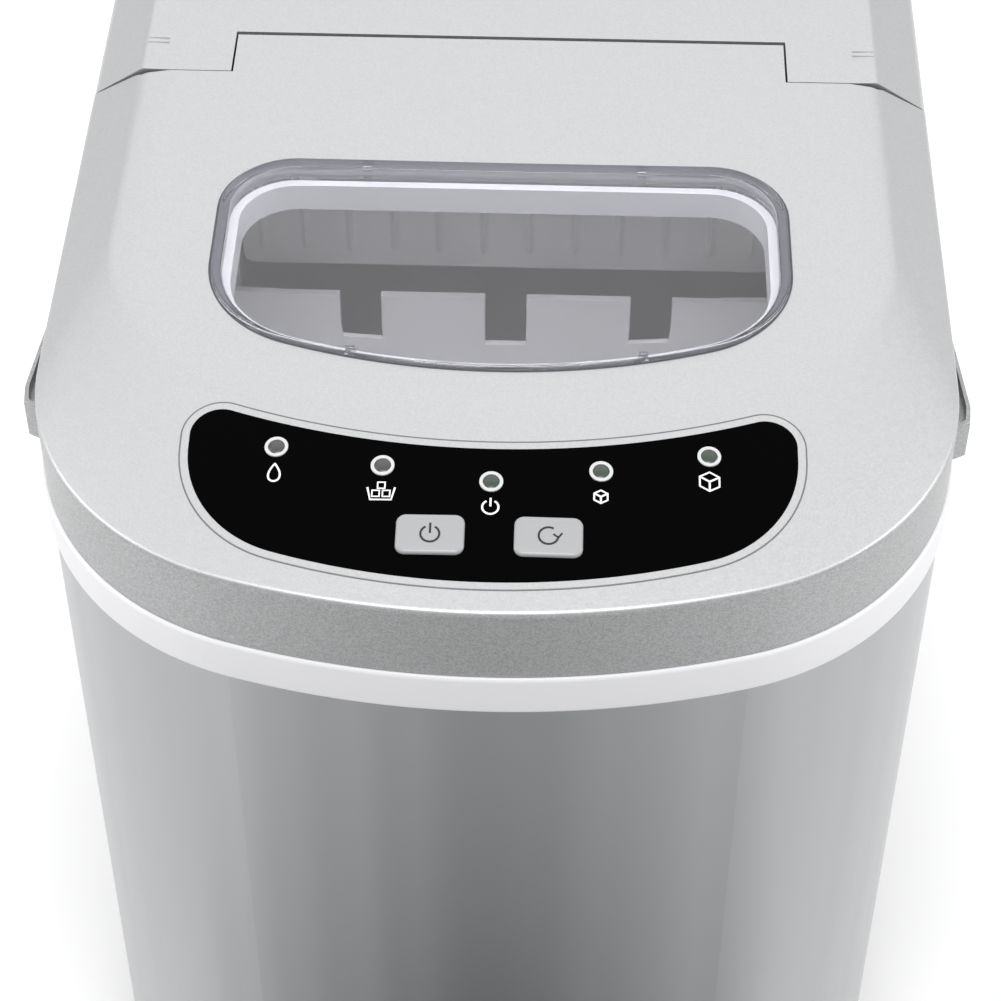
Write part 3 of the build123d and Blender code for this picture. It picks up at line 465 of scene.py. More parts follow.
def new_material(name):
    """Empty node material, its tree, and the object coordinates that its patterns are laid out by."""
    material = bpy.data.materials.new(name)
    material.use_nodes = True
    material.node_tree.nodes.clear()
    return material, material.node_tree, add(material.node_tree, "ShaderNodeTexCoord").outputs["Object"]


def spread(tree, value, low, high, start=0.0, end=1.0):
    """Spreads a value that runs from start to end over low to high."""
    inputs = {"Value": value, "From Min": start, "From Max": end, "To Min": low, "To Max": high}
    return add(tree, "ShaderNodeMapRange", inputs).outputs["Result"]


def clouds(tree, place, size, detail=2.0, roughness=0.5):
    """Cloudy pattern, with patches of about a size in millimetres."""
    inputs = {"Vector": place, "Scale": 1 / (size * MM), "Detail": detail, "Roughness": roughness}
    return add(tree, "ShaderNodeTexNoise", inputs).outputs["Fac"]


def relief(tree, pattern, strength, depth, over=None):
    """Normal of a surface that a pattern raises by a depth in millimetres, laid over another relief."""
    inputs = {"Height": pattern, "Strength": strength, "Distance": depth * MM}
    if over:
        inputs["Normal"] = over
    return add(tree, "ShaderNodeBump", inputs).outputs["Normal"]


def tinted(tree, colour, share):
    """Colour times a share."""
    return add(tree, "ShaderNodeVectorMath", {0: colour, "Scale": share}, operation="SCALE").outputs["Vector"]


def calculate(tree, operation, *values):
    """Result of one sum on one to three values."""
    return add(tree, "ShaderNodeMath", dict(enumerate(values)), operation=operation).outputs["Value"]


def coated(material, inputs):
    """Joins a principled shader with these inputs to the material's output."""
    shader = add(material.node_tree, "ShaderNodeBsdfPrincipled", inputs)
    add(material.node_tree, "ShaderNodeOutputMaterial", {"Surface": shader.outputs["BSDF"]})
    return material


def blended(material, share, first, second):
    """Joins a blend of two shaders to the material's output: the first where share is 0, else the second."""
    inputs = {0: share, 1: first.outputs["BSDF"], 2: second.outputs["BSDF"]}
    mix = add(material.node_tree, "ShaderNodeMixShader", inputs)
    add(material.node_tree, "ShaderNodeOutputMaterial", {"Surface": mix.outputs["Shader"]})
    return material


def moulded_plastic(name, colour, roughness=0.4, grain=0.6, depth=0.02):
    """Injection-moulded plastic: an even colour, with a fine eroded grain (mm) that softens its shine."""
    material, tree, place = new_material(name)
    handled = clouds(tree, place, 60.0)
    inputs = {
        "Base Color": colour,
        "Roughness": spread(tree, handled, roughness - 0.04, roughness + 0.04),
        "IOR": 1.53,
        "Normal": relief(tree, clouds(tree, place, grain), 0.35, depth),
    }
    return coated(material, inputs)


def silver_paint(name, colour):
    """Silver metallic paint on moulded ABS: aluminium flakes in a satin lacquer sparkle as fine grains.

    Real flakes are about 0.05 mm, too fine to show, so they are drawn at 0.32 mm. Below the crease the
    moulding is spark-eroded, so its flake tone spreads wider there for a coarser grain; the colour is also
    darkened there, as painted shade of the skirt.
    """
    material, tree, place = new_material(name)
    flakes = add(tree, "ShaderNodeTexVoronoi", {"Vector": place, "Scale": 1 / (0.32 * MM)})
    glint = add(tree, "ShaderNodeSeparateColor", {"Color": flakes.outputs["Color"]}).outputs
    height = add(tree, "ShaderNodeSeparateXYZ", {"Vector": place}).outputs["Z"]
    below_crease = spread(tree, height, 0.0, 1.0, (CREASE_Z + 0.2) * MM, (CREASE_Z - 0.8) * MM)
    even = spread(tree, glint["Red"], 0.94, 1.04)
    # painted shade: below the crease the colour drops to 0.56-0.8 of the paint, spread wider for the eroded
    # grain
    painted_shade_and_grain = spread(tree, glint["Red"], 0.56, 0.8)
    inputs = {
        "Base Color": tinted(tree, colour, spread(tree, below_crease, even, painted_shade_and_grain)),
        "Metallic": 0.7,
        "Roughness": spread(tree, glint["Green"], 0.36, 0.5),
        "Coat Weight": 0.15,
        "Coat Roughness": 0.25,
        "Normal": relief(tree, glint["Blue"], 0.12, 0.02),
    }
    return coated(material, inputs)


def lamp_lens(name, colour):
    """Diffusing polycarbonate lens over an unlit lamp: glossy, and slightly cloudy."""
    material, tree, place = new_material(name)
    share = spread(tree, clouds(tree, place, 1.2), 0.8, 1.15)
    return coated(material, {"Base Color": tinted(tree, colour, share), "Roughness": 0.22, "IOR": 1.58})


def printed_film(name, colour):
    """Black film printed on its back and silk-finished in front: it stays deep black under soft light."""
    material, tree, place = new_material(name)
    silk = relief(tree, clouds(tree, place, 0.4, 1.0), 0.1, 0.01)
    inputs = {"Base Color": colour, "Roughness": 0.4, "Specular IOR Level": 0.02, "Normal": silk}
    return coated(material, inputs)


def satin_steel(name, colour):
    """Rolled stainless sheet with a fine upright grain, and slow upright waves (26 mm) left by bending it."""
    material, tree, place = new_material(name)
    upright = add(tree, "ShaderNodeMapping", {"Vector": place, "Scale": (1.0, 1.0, 0.02)}).outputs["Vector"]
    waves = relief(tree, clouds(tree, upright, 26.0, 1.0), 0.7, 2.4)
    grain = clouds(tree, upright, 0.5, 2.0, 0.6)
    inputs = {
        "Base Color": colour,
        "Metallic": 1.0,
        "Roughness": spread(tree, grain, 0.26, 0.36),
        "Normal": relief(tree, grain, 0.12, 0.01, waves),
    }
    return coated(material, inputs)


def smoke_acrylic(name, colour):
    """Clear smoke-grey acrylic: polished, dark at its edges, and lets most of the lamps' light through."""
    material, tree, place = new_material(name)
    inputs = {"Base Color": colour, "Roughness": 0.02, "IOR": 1.49, "Transmission Weight": 1.0}
    glass = add(tree, "ShaderNodeBsdfPrincipled", inputs)
    clear = add(tree, "ShaderNodeBsdfTransparent", {"Color": linear("E2E2E6")})
    towards_lamp = add(tree, "ShaderNodeLightPath").outputs["Is Shadow Ray"]
    return blended(material, towards_lamp, glass, clear)


def graduated_card(name, near):
    """Matt card sprayed grey: darkest at its near edge (m), and fading to white on a fan that opens from it.

    Its underside is clear, so that the floor below it stays lit.
    """
    material, tree, place = new_material(name)
    axes = add(tree, "ShaderNodeSeparateXYZ", {"Vector": place}).outputs
    lean = calculate(tree, "ABSOLUTE", calculate(tree, "DIVIDE", axes["X"], axes["Y"]))
    side = spread(tree, lean, 0.0, 0.9, 0.05, 0.9)
    dark = spread(tree, axes["Y"], 0.04, 0.42, near, 2 * near)
    level = calculate(tree, "MULTIPLY_ADD", calculate(tree, "SUBTRACT", 0.93, dark), side, dark)
    grey = {key: level for key in ("Red", "Green", "Blue")}
    tone = add(tree, "ShaderNodeCombineColor", grey).outputs["Color"]
    matt = add(tree, "ShaderNodeBsdfPrincipled", {"Base Color": tone, "Roughness": 0.9})
    clear = add(tree, "ShaderNodeBsdfTransparent")
    return blended(material, add(tree, "ShaderNodeNewGeometry").outputs["Backfacing"], matt, clear)


def bare_metal(name, colour, roughness):
    """Plain metal part, whose shine varies with the marks (3 mm) that handling leaves."""
    material, tree, place = new_material(name)
    marks = clouds(tree, place, 3.0, 4.0)
    dulled = spread(tree, marks, roughness - 0.06, roughness + 0.08)
    return coated(material, {"Base Color": colour, "Metallic": 1.0, "Roughness": dulled})


def get_material(name, make, *values):
    """The named material, made the first time it is asked for."""
    return bpy.data.materials.get(name) or make(name, *values)


def paint_nodes(material, nodes):
    """Puts one material on the slots of CAD nodes."""
    for node in nodes:
        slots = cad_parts[node].material_slots
        for slot in slots:
            slot.material = material
        if not slots:
            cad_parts[node].data.materials.append(material)


# ---- operators ----
class PieceOperator:
    """What the build operators share."""

    bl_options = {"REGISTER"}

    def silver(self, context):
        """Paint of the lid and the rear cover."""
        return get_material("silver metallic paint on ABS", silver_paint, context.scene.ice_maker_lid.colour)


class ICEMAKER_OT_lid(PieceOperator, bpy.types.Operator):
    """Builds the painted top: skirt, slope, rolled crown, flat top with its window opening, and hinge tab"""

    bl_idname = "ice_maker.lid"
    bl_label = "Lid Skin"

    def execute(self, context):
        settings = context.scene.ice_maker_lid
        wall = settings.wall / MM
        crease, crown = settings.crease_radius / MM, settings.crown_radius / MM
        seam = SEAM_Y - LID_GAP
        silver = self.silver(context)
        outer, inner = (
            rounded(cap_stations(front_path, CROWN_Z, LID_ROLL, depth, seam - depth), (crease, crown), 8)
            for depth in (0.0, wall)
        )
        top, under = self.flat(outer[-1], seam, 0.0), self.flat(inner[-1], seam - wall, wall)
        outer, inner, top, under = (self.clear_of_ears(grid) for grid in (outer, inner, top, under))
        last = len(outer[-1]) - 1
        surfaces = [
            surface(outer),
            surface(inner),
            bridge(inner[0], outer[0]),
            bridge(outer[:, 0], inner[:, 0]),
            bridge(outer[:, -1], inner[:, -1]),
            surface(top, closed_columns=True),
            surface(under, closed_columns=True),
            bridge(top[-1], under[-1], closed=True),
            bridge(np.append(top[0][last:], top[0][:1], 0), np.append(under[0][last:], under[0][:1], 0)),
        ]
        make_piece("lid_skin", surfaces, "lid", silver, ["lid_shell"])
        collar = [lift(loop(WINDOW, -0.25), PLATEAU_Z - 1), lift(loop(WINDOW, -2.2), PLATEAU_Z - 1)]
        make_piece("window_collar", ring_solid(*collar, 6.5), "lid", silver)
        self.bosses(silver)
        self.grips(silver)
        return {"FINISHED"}

    def clear_of_ears(self, grid):
        """Rear edge undercut where it would meet the rear cover as the lid turns.

        Each point beside the tab keeps in front of a circle about the hinge line, whose radius reaches the
        top front edge of the rear cover at that x, plus a little air.
        """
        x, y, z = np.abs(grid[..., 0]), grid[..., 1], grid[..., 2] - HINGE[1]
        reach = HINGE[0] - SEAM_Y - LID_GAP
        radius = np.hypot(reach, np.interp(x, EAR_X, EAR_Z) - HINGE[1]) + EAR_AIR
        limit = HINGE[0] - np.sqrt(np.maximum(radius**2 - z**2, 0))
        near = (x > TAB_HALF + 0.01) & (np.abs(z) < radius)
        return np.stack([grid[..., 0], np.where(near, np.minimum(y, limit), y), grid[..., 2]], -1)

    def bosses(self, silver):
        """Two short tubes on the hinge line that the steel pins turn in."""
        bore, round_r, near, far = 1.8, 4.2, 68.4, 78.2
        surfaces = []
        for side in (-1, 1):
            profile = [(side * x, r) for x, r in ((near, bore), (near, round_r), (far, round_r), (far, bore))]
            surfaces.append(surface(turned(profile, HINGE), closed_rows=True, closed_columns=True))
        make_piece("hinge_bosses", surfaces, "lid", silver)

    def grips(self, silver):
        """Finger lip on each side: a wedge that flares out to its front, with a pocket above and below."""
        low, high = 300.0, 312.0
        outer = [(-1, -70), (0.3, -70), (3.4, -99), (2.8, -105), (-1.2, -107), (-1, -70)]
        inner = [(-0.1, -80), (0.4, -80), (2.2, -99), (1.6, -104), (-0.3, -105), (-0.1, -80)]
        skirt = (BODY[0] - SKIRT_INSET, 0)
        outer, inner = (resample(lift(np.array(plan) + skirt, 0.0), 61)[:-1] for plan in (outer, inner))
        surfaces = []
        for side in (-1, 1):
            out, hollow = outer * (side, 1, 1), inner * (side, 1, 1)
            levels = [(hollow, low + 4), (hollow, low), (out, low)]
            levels += [(out, high), (hollow, high), (hollow, high - 3)]
            rows = [ring + (0, 0, z) for ring, z in levels]
            floor, pocket = ([shrunk(row, k) for k in (0.0, 0.5)] for row in (rows[0], rows[-1]))
            shell = rounded(floor + rows + pocket[::-1], (0, 0, 0.2, 0.3, 0.5, 0.2, 0, 0), 4)
            surfaces.append(surface(shell, closed_columns=True))
        make_piece("side_grips", surfaces, "lid", silver)

    def flat(self, edge, seam, shrink):
        """Rows from the plateau's rim, seam and tab in to the window opening, along rays from its middle."""
        x = edge[-1][0]
        tab, rear = TAB_HALF - shrink * 0.2, TAB_REAR - shrink * 0.3
        back = [
            run((x, seam), (tab, seam), 8),
            run((tab, seam), (tab, rear), 6),
            run((tab, rear), (-tab, rear), 32),
            run((-tab, rear), (-tab, seam), 6),
            run((-tab, seam), (-x, seam), 8),
        ]
        rim = joined([edge[:, :2]] + back)[:-1]
        centre = np.array([0.0, -62.0])
        hole = polar_match(loop(WINDOW, -0.25), centre, rim)
        return across(rim, hole, 9, PLATEAU_Z - shrink)


class ICEMAKER_OT_rear_cover(PieceOperator, bpy.types.Operator):
    """Builds the fixed rear top with its low ridges, the notch for the lid's tab and the trough under it"""

    bl_idname = "ice_maker.rear_cover"
    bl_label = "Rear Cover Skin"

    def execute(self, context):
        wall = context.scene.ice_maker_lid.wall / MM
        silver = self.silver(context)
        outer, inner = (
            rounded(cap_stations(rear_path, RIDGE_Z, COVER_ROLL, depth, SEAM_Y), COVER_EASE, 8)
            for depth in (0.0, wall)
        )
        top, under = self.flat(outer[-1], 0.0), self.flat(inner[-1], wall)
        surfaces = [
            surface(outer),
            surface(inner),
            bridge(inner[0], outer[0]),
            surface(top),
            surface(under),
            bridge(top[-1], under[-1]),
            bridge(outer[:, 0], inner[:, 0]),
            bridge(outer[:, -1], inner[:, -1]),
        ]
        surfaces += self.trough() + self.cheeks()
        make_piece("rear_cover_skin", surfaces, "cabinet", silver, ["rear_cover"])
        # The signs are thin raised slabs in a darker grey than the paint.
        sign = get_material("pad-printed grey ink", moulded_plastic, linear("B4B6B9"), 0.6)
        make_piece("rear_cover_marks", self.marks(), "cabinet", sign)
        return {"FINISHED"}

    def flat(self, edge, shrink):
        """Rows from the U of the plateau's rim to the seam and notch, straight between matched points."""
        x = edge[0][0]
        half, notch = NOTCH_HALF, NOTCH_REAR
        near = [
            run((x, SEAM_Y), (half, SEAM_Y), 16),
            run((half, SEAM_Y), (half, notch), 12),
            run((half, notch), (-half, notch), 24),
            run((-half, notch), (-half, SEAM_Y), 12),
            run((-half, SEAM_Y), (-x, SEAM_Y), 16),
        ]
        return across(edge[:, :2], joined(near), 7, PLATEAU_Z - shrink)

    def trough(self):
        """Channel under the tab: part of a tube about the hinge line, from the notch's rear edge forward."""
        radius = NOTCH_REAR + 0.05 - HINGE[0]
        x = np.linspace(-NOTCH_HALF, NOTCH_HALF, 9)
        shells = []
        for reach in (radius, radius + 1.6):
            curve = np.append([(HINGE[0] + reach, PLATEAU_Z - 1.0)], arc(HINGE, reach, 0, -110, 24), 0)
            rows = [np.stack([x, np.full(9, y), np.full(9, z)], 1) for y, z in curve]
            shells.append(np.array(rows))
        inside, outside = shells
        return plate(inside, outside)

    def cheeks(self):
        """Upright plate beside each end of the trough, which holds the hinge pin."""
        surfaces = []
        for side in (-1, 1):
            ends = (side * NOTCH_HALF, side * (NOTCH_HALF + 3.0))
            face = [[(x, y, PLATEAU_Z - 1.0) for y in (SEAM_Y + 0.2, NOTCH_REAR)] for x in ends]
            surfaces += slab(np.array(face), 20.0)
        return surfaces

    def marks(self):
        """Small triangle over a bar on each side of the rear top."""
        surfaces = []
        for side in (-1, 1):
            centre = (side * MARK_X, MARK_Y, PLATEAU_Z + 0.3)
            for edges in (((MARK_HALF, 0.0), (0.05, 2.6)), ((MARK_HALF, -2.0), (MARK_HALF, -1.2))):
                sign = [[(-half, y, 0.0), (half, y, 0.0)] for half, y in edges]
                surfaces += slab(np.array(sign) + centre, 0.8)
        return surfaces


class ICEMAKER_OT_band(PieceOperator, bpy.types.Operator):
    """Builds the light band with its eased edges, the deck under the lid and the chamber's drip lip"""

    bl_idname = "ice_maker.band"
    bl_label = "Band and Deck"

    def execute(self, context):
        settings = context.scene.ice_maker_cabinet
        ease = settings.edge_radius / MM
        band = get_material("moulded light grey ABS", moulded_plastic, settings.band, 0.38)
        lip = loop(TANK, 0.4)
        lip_z = BAND_TOP + 2.2 * np.clip((12 - lip[:, 1]) / 4, 0, 1)
        stations = [
            lift(loop(BODY, 1.0), BAND_BOTTOM),
            lift(loop(BODY, 0.0), BAND_BOTTOM),
            lift(loop(BODY, 0.0), BAND_TOP),
            lift(lip, BAND_TOP),
            lift(lip, lip_z),
            lift(loop(TANK, 2.0), lip_z),
            lift(loop(TANK, 2.0), BAND_TOP - 2.5),
            lift(loop(BODY, 4.4), BAND_TOP - 2.5),
            lift(loop(BODY, 4.4), 272.0),
            lift(loop(BODY, 2.3), 272.0),
            lift(loop(BODY, 2.3), BAND_BOTTOM),
            lift(loop(BODY, 1.0), BAND_BOTTOM),
        ]
        grid = rounded(stations, (ease, ease, 0, 0.5, 0.5, 0, 0, 0, 0, 0))
        pieces = [surface(grid[:-1], closed_rows=True, closed_columns=True)]
        make_piece("rim_band", pieces, "cabinet", band, ["rim_frame"])
        return {"FINISHED"}


class ICEMAKER_OT_window(PieceOperator, bpy.types.Operator):
    """Builds the smoked pane: a shallow tub with eased outer edge that sits in the lid's opening"""

    bl_idname = "ice_maker.window"
    bl_label = "Window Pane"

    def execute(self, context):
        settings = context.scene.ice_maker_window
        smoke = get_material("smoke acrylic", smoke_acrylic, settings.smoke)
        thick = settings.thickness / MM
        top = PLATEAU_Z + PANE_RISE
        surfaces = []
        feet = []
        for inset, z, ease, steps in ((0.0, top, 1.3, 8), (thick, top - thick, 0.8, 5)):
            foot = lift(loop(WINDOW, inset), PLATEAU_Z - PANE_DEPTH)
            edge = lift(loop(WINDOW, inset), z)
            middle = [shrunk(edge, share) for share in np.linspace(PANE_FLAT, 0.0, 9)]
            feet.append(foot)
            surfaces.append(surface(rounded([foot, edge, middle[0]], (ease,), steps), closed_columns=True))
            surfaces.append(surface(np.array(middle), closed_columns=True))
        surfaces.append(bridge(*feet, closed=True))
        make_piece("window_pane", surfaces, "lid", smoke, ["lid_window"])
        make_piece("window_clips", self.clips(thick + 0.5), "lid", smoke)
        # Painted shade: a dark grey ring over the pane's foot and the plateau's edge stands for the shadow in
        # the gap round the pane.
        gap_shade = get_material("dark window seal", moulded_plastic, linear("4A4B52"), 0.5)
        gap_shade_loops = [lift(loop(WINDOW, inset), PLATEAU_Z + 0.12) for inset in (-0.02, -0.5)]
        make_piece("window_seal", ring_solid(*gap_shade_loops, 1.0), "lid", gap_shade)
        return {"FINISHED"}

    def clips(self, inset):
        """Two small clips inside the pane's rear edge, and two inside its bowed front edge."""
        bow_y = corners_of(WINDOW)[3]
        tip = np.array([[(-1.2, -0.4), (1.2, -0.4)], [(-1.2, 0.4), (1.2, 0.4)]])
        clips = []
        for x in (-CLIP_X, CLIP_X):
            for y in (WINDOW[4] - inset, bow_y - np.sqrt((WINDOW[2] - inset) ** 2 - x**2)):
                face = np.concatenate([tip + (x, y), np.full((2, 2, 1), PLATEAU_Z)], 2)
                clips += slab(face, 4.0)
        return clips


class ICEMAKER_OT_control_panel(PieceOperator, bpy.types.Operator):
    """Builds the black printed panel, its silver border, a grey strip as painted shade of the groove round
    it, and the printed symbols
    """

    bl_idname = "ice_maker.control_panel"
    bl_label = "Control Panel"

    def execute(self, context):
        silver = self.silver(context)
        black = get_material("black printed film", printed_film, linear("020202"))
        shadow = get_material("shadow gap", moulded_plastic, linear("6E6F71"), 0.8)
        ink = get_material("white screen ink", moulded_plastic, linear("F0F0F0"), 0.6)
        x = PANEL[0] * np.sin(np.radians(np.linspace(-90, 90, 181)))
        front, rear = panel_edges(x)
        share = np.linspace(0, 1, 25)[:, None]
        plan = np.stack([np.broadcast_to(x, (25, 181)), front * (1 - share) + rear * share], 2)
        film = slab(on_slope(plan, FILM_RISE), LAYER)
        make_piece("control_film", film, "lid", black, ["control_overlay"])
        border = self.frame(0.0, 1.9, BORDER_RISE)
        make_piece("panel_border", border, "lid", silver, ["control_bezel"])
        # Painted shade: the groove round the border is not cut; a grey strip laid just over the slope stands
        # for its shade.
        gap = self.frame(1.95, 2.35, GAP_RISE)
        make_piece("panel_groove_shade", gap, "lid", shadow)
        make_piece("panel_symbols", self.symbols(), "lid", ink)
        self.lamps()
        return {"FINISHED"}

    def frame(self, low, high, above):
        """Closed flat ring on the slope between two sizes of the panel's outline."""
        return ring_solid(on_slope(panel_loop(low), above), on_slope(panel_loop(high), above), LAYER)

    def lamps(self):
        """White ring and low domed lens of each lamp."""
        ring = [(2.95, -0.6), (2.95, 0.42), (2.8, 0.55), (2.3, 0.55), (2.1, 0.4), (2.1, -0.6)]
        dome = [(0.0, -0.5), (2.05, -0.5), (2.05, 0.22), (1.8, 0.34), (1.3, 0.44), (0.7, 0.5), (0.0, 0.52)]
        white = get_material("white lamp ring", moulded_plastic, linear("CDCECF"), 0.35)
        grey = get_material("clear lamp lens, unlit", lamp_lens, linear("4C4C4A"))
        green = get_material("green lamp lens, unlit", lamp_lens, linear("3F4B43"))
        rings = [surface(revolved(x, y, ring), closed_rows=True, closed_columns=True) for x, y in LAMPS]
        make_piece("lamp_rings", rings, "lid", white, ["led_rings"])
        domes = [surface(revolved(x, y, dome), closed_columns=True) for x, y in LAMPS]
        make_piece("lamp_lenses_left", domes[:2], "lid", grey, ["led_lenses"])
        make_piece("lamp_lenses_right", domes[2:], "lid", green)

    def symbols(self):
        """White pictograms under the lamps: drop, full tray, power, small cube and large cube."""
        strokes = []
        turn = np.radians(np.linspace(0, 360, 41)[:-1])
        x, y = LAMPS[0]
        drop = np.stack([1.9 * np.sin(turn) * np.sin(turn / 2), -2.6 * np.cos(turn)], 1)
        strokes.append((drop * (1, -1) + (x, y - SIGN_DROP - 0.2), True))
        tray = np.array(LAMPS[1]) - (0.0, SIGN_DROP + 0.2)
        strokes.append((tray + np.array([(-3.4, 1.2), (-2.6, -2.4), (2.6, -2.4), (3.4, 1.2)]), False))
        square = 0.9 * np.array([(-1, -1), (1, -1), (1, 1), (-1, 1)])
        strokes += [(tray + square + place, True) for place in ((-1.3, -0.6), (1.3, -0.6), (0.0, 1.8))]
        strokes += power_strokes(*LAMPS[2], SIGN_DROP, 2.0)
        for (x, y), size in ((LAMPS[3], 1.9), (LAMPS[4], 2.8)):
            strokes += cube_strokes(x, y - SIGN_DROP, size)
        surfaces = []
        for points, closed in strokes:
            surfaces += ribbon(points, INK_RISE, closed)
        return surfaces


def power_strokes(x, y, below, radius):
    """Power symbol: most of a ring, open at the top, and an upright bar."""
    middle = np.array([x, y - below])
    ring = arc(middle, radius, 120, 420, 30)
    bar = middle + np.array([(0.0, 0.2), (0.0, radius * 1.35)])
    return [(ring, False), (bar, False)]


def cube_strokes(x, y, size):
    """Cube seen from a corner: a six-sided outline with three lines from its middle."""
    middle = np.array([x, y])
    rim = arc(middle, size, 90, -210, 5)
    spokes = [(np.array([middle, rim[k]]), False) for k in (1, 3, 5)]
    return [(rim, True)] + spokes


class ICEMAKER_OT_keys(PieceOperator, bpy.types.Operator):
    """Builds the two key caps with eased edges and a slight dish, and their dark symbols"""

    bl_idname = "ice_maker.keys"
    bl_label = "Keys"

    def execute(self, context):
        key = get_material("satin silver key cap", moulded_plastic, linear("A4A5A6"), 0.35)
        ink = get_material("dark key ink", moulded_plastic, linear("141516"), 0.6)
        for side, node, body in ((-1, "on_off_button", "on_off_key"), (1, "select_button", "select_key")):
            x = side * KEY_X
            rings = [(0.0, -7.0), (0.0, 0.75), (0.75, 1.1), (1.3, 0.95)]
            rows = rounded([on_slope(self.outline(x, inset), rise) for inset, rise in rings], (0.5, 0.3), 5)
            top = np.array([shrunk(rows[-1], k) for k in np.linspace(1, 0, 7)])
            foot = np.array([shrunk(rows[0], k) for k in (0, 1)])
            surfaces = [surface(part, closed_columns=True) for part in (rows, top, foot)]
            make_piece(f"{node}_cap", surfaces, body, key, [node])
            lines = []
            for points, closed in self.symbol(x, side):
                lines += ribbon(points, KEY_INK_RISE, closed)
            make_piece(f"{node}_symbol", lines, body, ink)
        return {"FINISHED"}

    def outline(self, x, inset):
        """Rounded rectangle with its long side along X."""
        half_x, half_y, r = 8.4 - inset, 5.6 - inset, max(2.4 - inset * 0.6, 0.6)
        corners = np.array([(1, 1), (-1, 1), (-1, -1), (1, -1)]) * (half_x - r, half_y - r)
        parts = [arc(corner, r, 90 * k, 90 * k + 90, 8) for k, corner in enumerate(corners)]
        return np.concatenate(parts) + (x, KEY_Y)

    def symbol(self, x, side):
        """Power sign on the left key, and a turning arrow on the right one."""
        if side < 0:
            return power_strokes(x, KEY_Y, 0.2, 2.3)
        middle = np.array([x, KEY_Y])
        ring = arc(middle, 2.4, 60, 360, 30)
        head = middle + np.array([(1.2, 0.5), (2.4, -0.5), (3.3, 0.8)])
        return [(ring, False), (head, False)]


class ICEMAKER_OT_shovel(PieceOperator, bpy.types.Operator):
    """Builds the ice shovel: a flap with round corners and soft upright ribs, hanging from its axle"""

    bl_idname = "ice_maker.shovel"
    bl_label = "Ice Shovel"

    def execute(self, context):
        name, code, roughness = WHITE_PLASTIC
        white = get_material(name, moulded_plastic, linear(code), roughness)
        x = np.linspace(-SHOVEL_HALF, SHOVEL_HALF, 361)
        share = np.linspace(0, 1, 29)[:, None]
        round_r = 4.0
        past = np.maximum(np.abs(x) - (SHOVEL_HALF - round_r), 0)
        low = SHOVEL_BOTTOM + round_r - np.sqrt(round_r**2 - past**2)
        z = low + (SHOVEL_AXLE[1] - low) * share
        front = SHOVEL_AXLE[0] - 1.0 - 1.2 * self.rib_height(x) * self.fade(share)
        back = np.full(z.shape, SHOVEL_AXLE[0] + 1.2)
        surfaces = plate(*(np.stack([np.broadcast_to(x, z.shape), y, z], 2) for y in (front, back)))
        surfaces.append(self.axle())
        make_piece("shovel_flap", surfaces, "shovel", white, ["ice_shovel"])
        return {"FINISHED"}

    def rib_height(self, x):
        """Share of the rib height across the flap: a bell curve, exp(-(distance / 0.8)^2), about each rib."""
        ribs = (np.arange(SHOVEL_RIBS) - (SHOVEL_RIBS - 1) / 2) * RIB_PITCH
        return np.exp(-(((x[:, None] - ribs) / 0.8) ** 2)).sum(axis=1)

    def fade(self, share):
        """Ribs rise from the flap over its lowest part and run out below the axle."""
        up, down = np.clip((share - 0.14) / 0.06, 0, 1), np.clip((0.97 - share) / 0.06, 0, 1)
        return up * down

    def axle(self):
        """Round bar along the top with a thinner stub at each end."""
        left, right, half, stub, bar = -88.0, 84.4, SHOVEL_HALF, 2.95, 4.2
        profile = [(left, 0.0), (left, stub), (-half, stub), (-half, bar)]
        profile += [(half, bar), (half, stub), (right, stub), (right, 0.0)]
        return surface(turned(profile, SHOVEL_AXLE), closed_columns=True)


class ICEMAKER_OT_finishes(PieceOperator, bpy.types.Operator):
    """Gives every CAD part that stays visible its finish"""

    bl_idname = "ice_maker.finishes"
    bl_label = "Finishes"

    def execute(self, context):
        steel = context.scene.ice_maker_cabinet.steel
        self.paint("satin stainless sheet", satin_steel, (steel,), "wrap_shell rear_panel")
        for name, code, roughness, nodes in self.plastics():
            self.paint(name, moulded_plastic, (linear(code), roughness), nodes)
        for name, code, roughness, nodes in self.metals():
            self.paint(name, bare_metal, (linear(code), roughness), nodes)
        foam = (linear("EDEBE4"), 0.8, 3.0, 0.3)
        self.paint("polystyrene foam", moulded_plastic, foam, "tank_insulation")
        return {"FINISHED"}

    def paint(self, name, make, values, nodes):
        """Gives one finish to the named nodes."""
        paint_nodes(get_material(name, make, *values), nodes.split())

    def plastics(self):
        """Name, colour, roughness and nodes of each moulded plastic."""
        white = "ice_basket float_stem drain_spout water_tray evaporator_cover bracket_left bracket_right "
        white += "tray_crank shovel_crank link_rod water_tank"
        black = "base_pan fan_bracket mains_inlet fan_blade water_pump pump_impeller compressor "
        black += "ice_full_sensors"
        rubber = "compressor_grommets drain_cap foot_front_left foot_front_right foot_rear_left "
        rubber += "foot_rear_right"
        return (
            ("moulded light grey polystyrene", "D4D5D6", 0.45, "lid_liner control_housing"),
            (*WHITE_PLASTIC, white),
            ("moulded black ABS", "1B1C1E", 0.5, black),
            ("black rubber", "121212", 0.75, rubber),
            ("green solder mask", "0F5A2C", 0.3, "panel_board power_board"),
            ("milky silicone", "C9CDD0", 0.3, "supply_hose"),
            ("blue foamed plastic", "33578A", 0.6, "water_float"),
        )

    def metals(self):
        """Name, colour, roughness and nodes of each bare metal."""
        tubes = "evaporator_tube filter_drier discharge_line suction_line capillary_tube liquid_line"
        plated = "evaporator_plate cooling_fingers housing_screws hinge_pin_left hinge_pin_right"
        return (
            ("bare copper tube", "C77F55", 0.32, tubes),
            ("nickel plate", "C9C8C4", 0.18, plated),
            ("dull aluminium", "B4B5B7", 0.45, "tray_motor fan_motor condenser hot_gas_valve"),
        )


